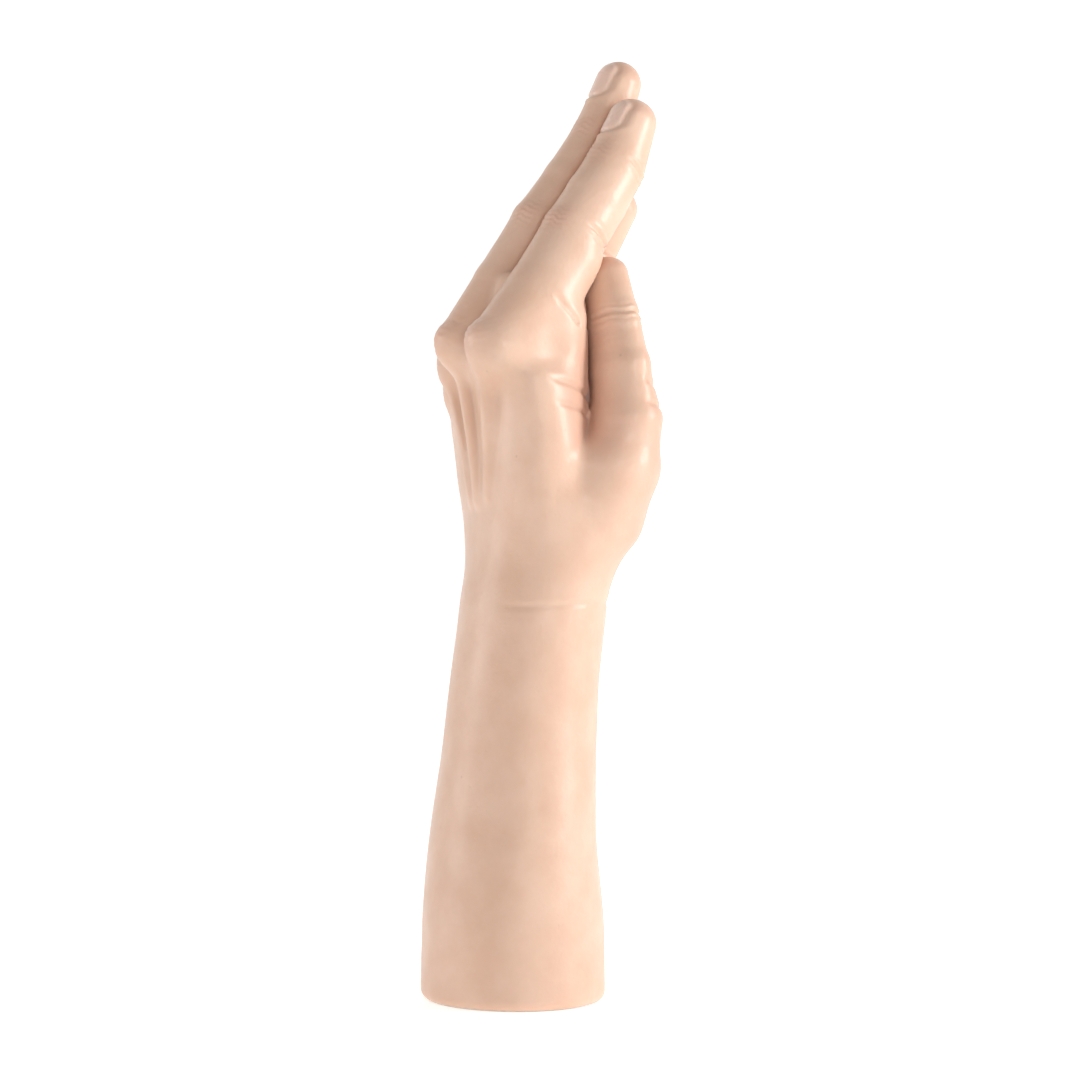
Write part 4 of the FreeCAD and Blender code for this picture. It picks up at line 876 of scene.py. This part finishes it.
class HAND_OT_fingers(bpy.types.Operator):
    """Glove over the four fingers, from the knuckles out."""

    bl_idname = "hand.fingers"
    bl_label = "Fingers"

    def execute(self, context):
        piece = glove_piece("finger_skin", 1)
        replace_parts(piece, "index_glove", "middle_glove", "ring_glove", "little_glove")
        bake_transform(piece)  # fmt: skip
        return {"FINISHED"}


class HAND_OT_thumb(bpy.types.Operator):
    """Glove over the thumb, from its root out."""

    bl_idname = "hand.thumb"
    bl_label = "Thumb"

    def execute(self, context):
        piece = glove_piece("thumb_skin", 2)
        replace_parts(piece, "glove_thumb")
        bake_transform(piece)
        return {"FINISHED"}


class HAND_OT_foam(bpy.types.Operator):
    """Foam cores between the glove and the metal, one for each moving body."""

    bl_idname = "hand.foam"
    bl_label = "Foam cores"

    def execute(self, context):
        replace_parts(foam_piece("forearm_core", "forearm"), "forearm_foam")
        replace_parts(foam_piece("palm_core", "hand"), "palm_foam")
        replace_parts(foam_piece("finger_core", "fingers"), "index_foam", "middle_foam", "ring_foam", "little_foam")
        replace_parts(foam_piece("thumb_core", "thumb"), "thumb_foam")
        return {"FINISHED"}


class HAND_OT_finishes(bpy.types.Operator):
    """Gives the glove and every metal, nylon and foam piece its finish."""

    bl_idname = "hand.finishes"
    bl_label = "Finishes"

    def execute(self, context):
        skin = glove_finish()
        for name in ("sleeve_skin", "finger_skin", "thumb_skin"):
            materials = bpy.data.objects[name].data.materials
            materials.clear()
            materials.append(skin)
        made = {"foam": foam_finish()}
        for name in ("forearm_core", "palm_core", "finger_core", "thumb_core"):
            bpy.data.objects[name].data.materials.append(made["foam"])
        slots = {part["node"]: part["material_slot"] for part in frame["record"]["subparts"]}
        for node, obj in frame["nodes"].items():
            slot = slots[node]
            if slot == "glove_skin":
                continue
            if slot not in made:
                made[slot] = SLOT_FINISH[slot]()
            for place in obj.material_slots:
                place.material = made[slot]
            if not obj.material_slots:
                obj.data.materials.append(made[slot])
        return {"FINISHED"}


class HAND_OT_studio(bpy.types.Operator):
    """Pale floor curving up behind, soft lights and the camera."""

    bl_idname = "hand.studio"
    bl_label = "Studio"

    def execute(self, context):
        studio = context.scene.studio
        turn = studio.azimuth
        right = np.array([math.cos(turn), math.sin(turn), 0])
        ahead = np.array([-math.sin(turn), math.cos(turn), 0])
        context.scene.view_settings.view_transform = "Standard"
        make_floor(ahead, right, studio.steps)
        make_camera(studio, ahead, right)
        make_lights(ahead, right)
        return {"FINISHED"}


def make_floor(ahead, right, steps):
    """Floor as a profile carried sideways: level ground, a quarter circle, then a wall. In metres."""
    front, level, radius, top, half_width = -5.0, 2.2, 1.2, 6.0, 6
    u = np.linspace(0, np.pi / 2, steps)
    curve = np.stack([level + radius * np.sin(u), radius - radius * np.cos(u)], 1)
    profile = np.concatenate([[(front, 0.0)], curve, [(level + radius, top)]])
    across = np.linspace(-half_width, half_width, 9)
    grid = profile[:, None, 0, None] * ahead + across[None, :, None] * right
    grid = grid + profile[:, None, 1, None] * np.array([0, 0, 1.0])
    rows, cols = grid.shape[:2]
    index = np.arange(rows * cols).reshape(rows, cols)
    quads = np.stack([index[:-1, :-1], index[:-1, 1:], index[1:, 1:], index[1:, :-1]], -1).reshape(-1, 4)
    mesh = bpy.data.meshes.new("floor")
    mesh.from_pydata(grid.reshape(-1, 3).tolist(), [], quads.tolist())
    mesh.shade_smooth()
    floor = bpy.data.objects.new("floor", mesh)
    bpy.context.scene.collection.objects.link(floor)
    n = Nodes("studio_floor")
    n.set(Base_Color=n.mix(n.span(n.noise(3, 2), 0.3, 0.7), (0.93, 0.93, 0.93), (0.91, 0.91, 0.91)), Roughness=0.7,
          Emission_Color=(1.0, 1.0, 1.0), Emission_Strength=0.5)  # fmt: skip
    mesh.materials.append(n.material)


def make_camera(studio, ahead, right):
    """Level camera at the studio's azimuth, distance, height and lens."""
    data = bpy.data.cameras.new("camera")
    data.sensor_width = 36
    data.lens = studio.lens
    camera = bpy.data.objects.new("camera", data)
    place = -ahead * studio.distance + right * studio.aside + np.array([0, 0, studio.height])
    camera.location = place
    camera.rotation_euler = (math.pi / 2, 0, studio.azimuth)
    bpy.context.scene.collection.objects.link(camera)
    bpy.context.scene.camera = camera


def make_lights(ahead, right):
    """Large key at the right, weaker fill at the left, a small light in front and a white world."""
    up = np.array([0, 0, 1.0])
    target = up * 0.15
    for name, place, size, power in (
        ("key", right * 1.4 - ahead * 0.3 + up * 0.45, 0.5, 13),
        ("fill", -right * 1.4 + ahead * 0.1 + up * 0.4, 0.6, 4),
        ("front", up * 0.4 - ahead * 1.2 + right * 0.3, 0.25, 2.0),
    ):
        data = bpy.data.lights.new(name, "AREA")
        data.size = size
        data.energy = power
        light = bpy.data.objects.new(name, data)
        light.location = place
        way = target - place
        light.rotation_euler = (
            math.acos(-way[2] / np.linalg.norm(way)), 0, math.atan2(way[1], way[0]) - math.pi / 2
        )  # fmt: skip
        bpy.context.scene.collection.objects.link(light)
    world = bpy.context.scene.world or bpy.data.worlds.new("studio")
    bpy.context.scene.world = world
    world.use_nodes = True
    background = world.node_tree.nodes["Background"]
    background.inputs["Color"].default_value = (1, 1, 1, 1)
    background.inputs["Strength"].default_value = 0.38


class HAND_PT_panel(bpy.types.Panel):
    """Lists the hand's steps and settings."""

    bl_idname = "HAND_PT_panel"
    bl_label = "Passive hand"
    bl_space_type = "VIEW_3D"
    bl_region_type = "UI"
    bl_category = "Hand"

    def draw(self, context):
        for group in (context.scene.glove, context.scene.studio):
            box = self.layout.box()
            for key in group.__annotations__:
                box.prop(group, key)
        for step in STEPS:
            self.layout.operator(step.bl_idname)


STEPS = (HAND_OT_sleeve, HAND_OT_fingers, HAND_OT_thumb, HAND_OT_foam, HAND_OT_finishes, HAND_OT_studio)
CLASSES = (GloveSettings, StudioSettings, *STEPS, HAND_PT_panel)


def register():
    """Adds the classes and the scene's settings."""
    for cls in CLASSES:
        bpy.utils.register_class(cls)
    bpy.types.Scene.glove = PointerProperty(type=GloveSettings)
    bpy.types.Scene.studio = PointerProperty(type=StudioSettings)


def unregister():
    """Takes the settings and classes away again."""
    del bpy.types.Scene.studio
    del bpy.types.Scene.glove
    for cls in reversed(CLASSES):
        bpy.utils.unregister_class(cls)


def main():
    """Runs every step in order."""
    register()
    for step in STEPS:
        area, name = step.bl_idname.split(".")
        getattr(getattr(bpy.ops, area), name)()


if __name__ == "__main__":
    main()
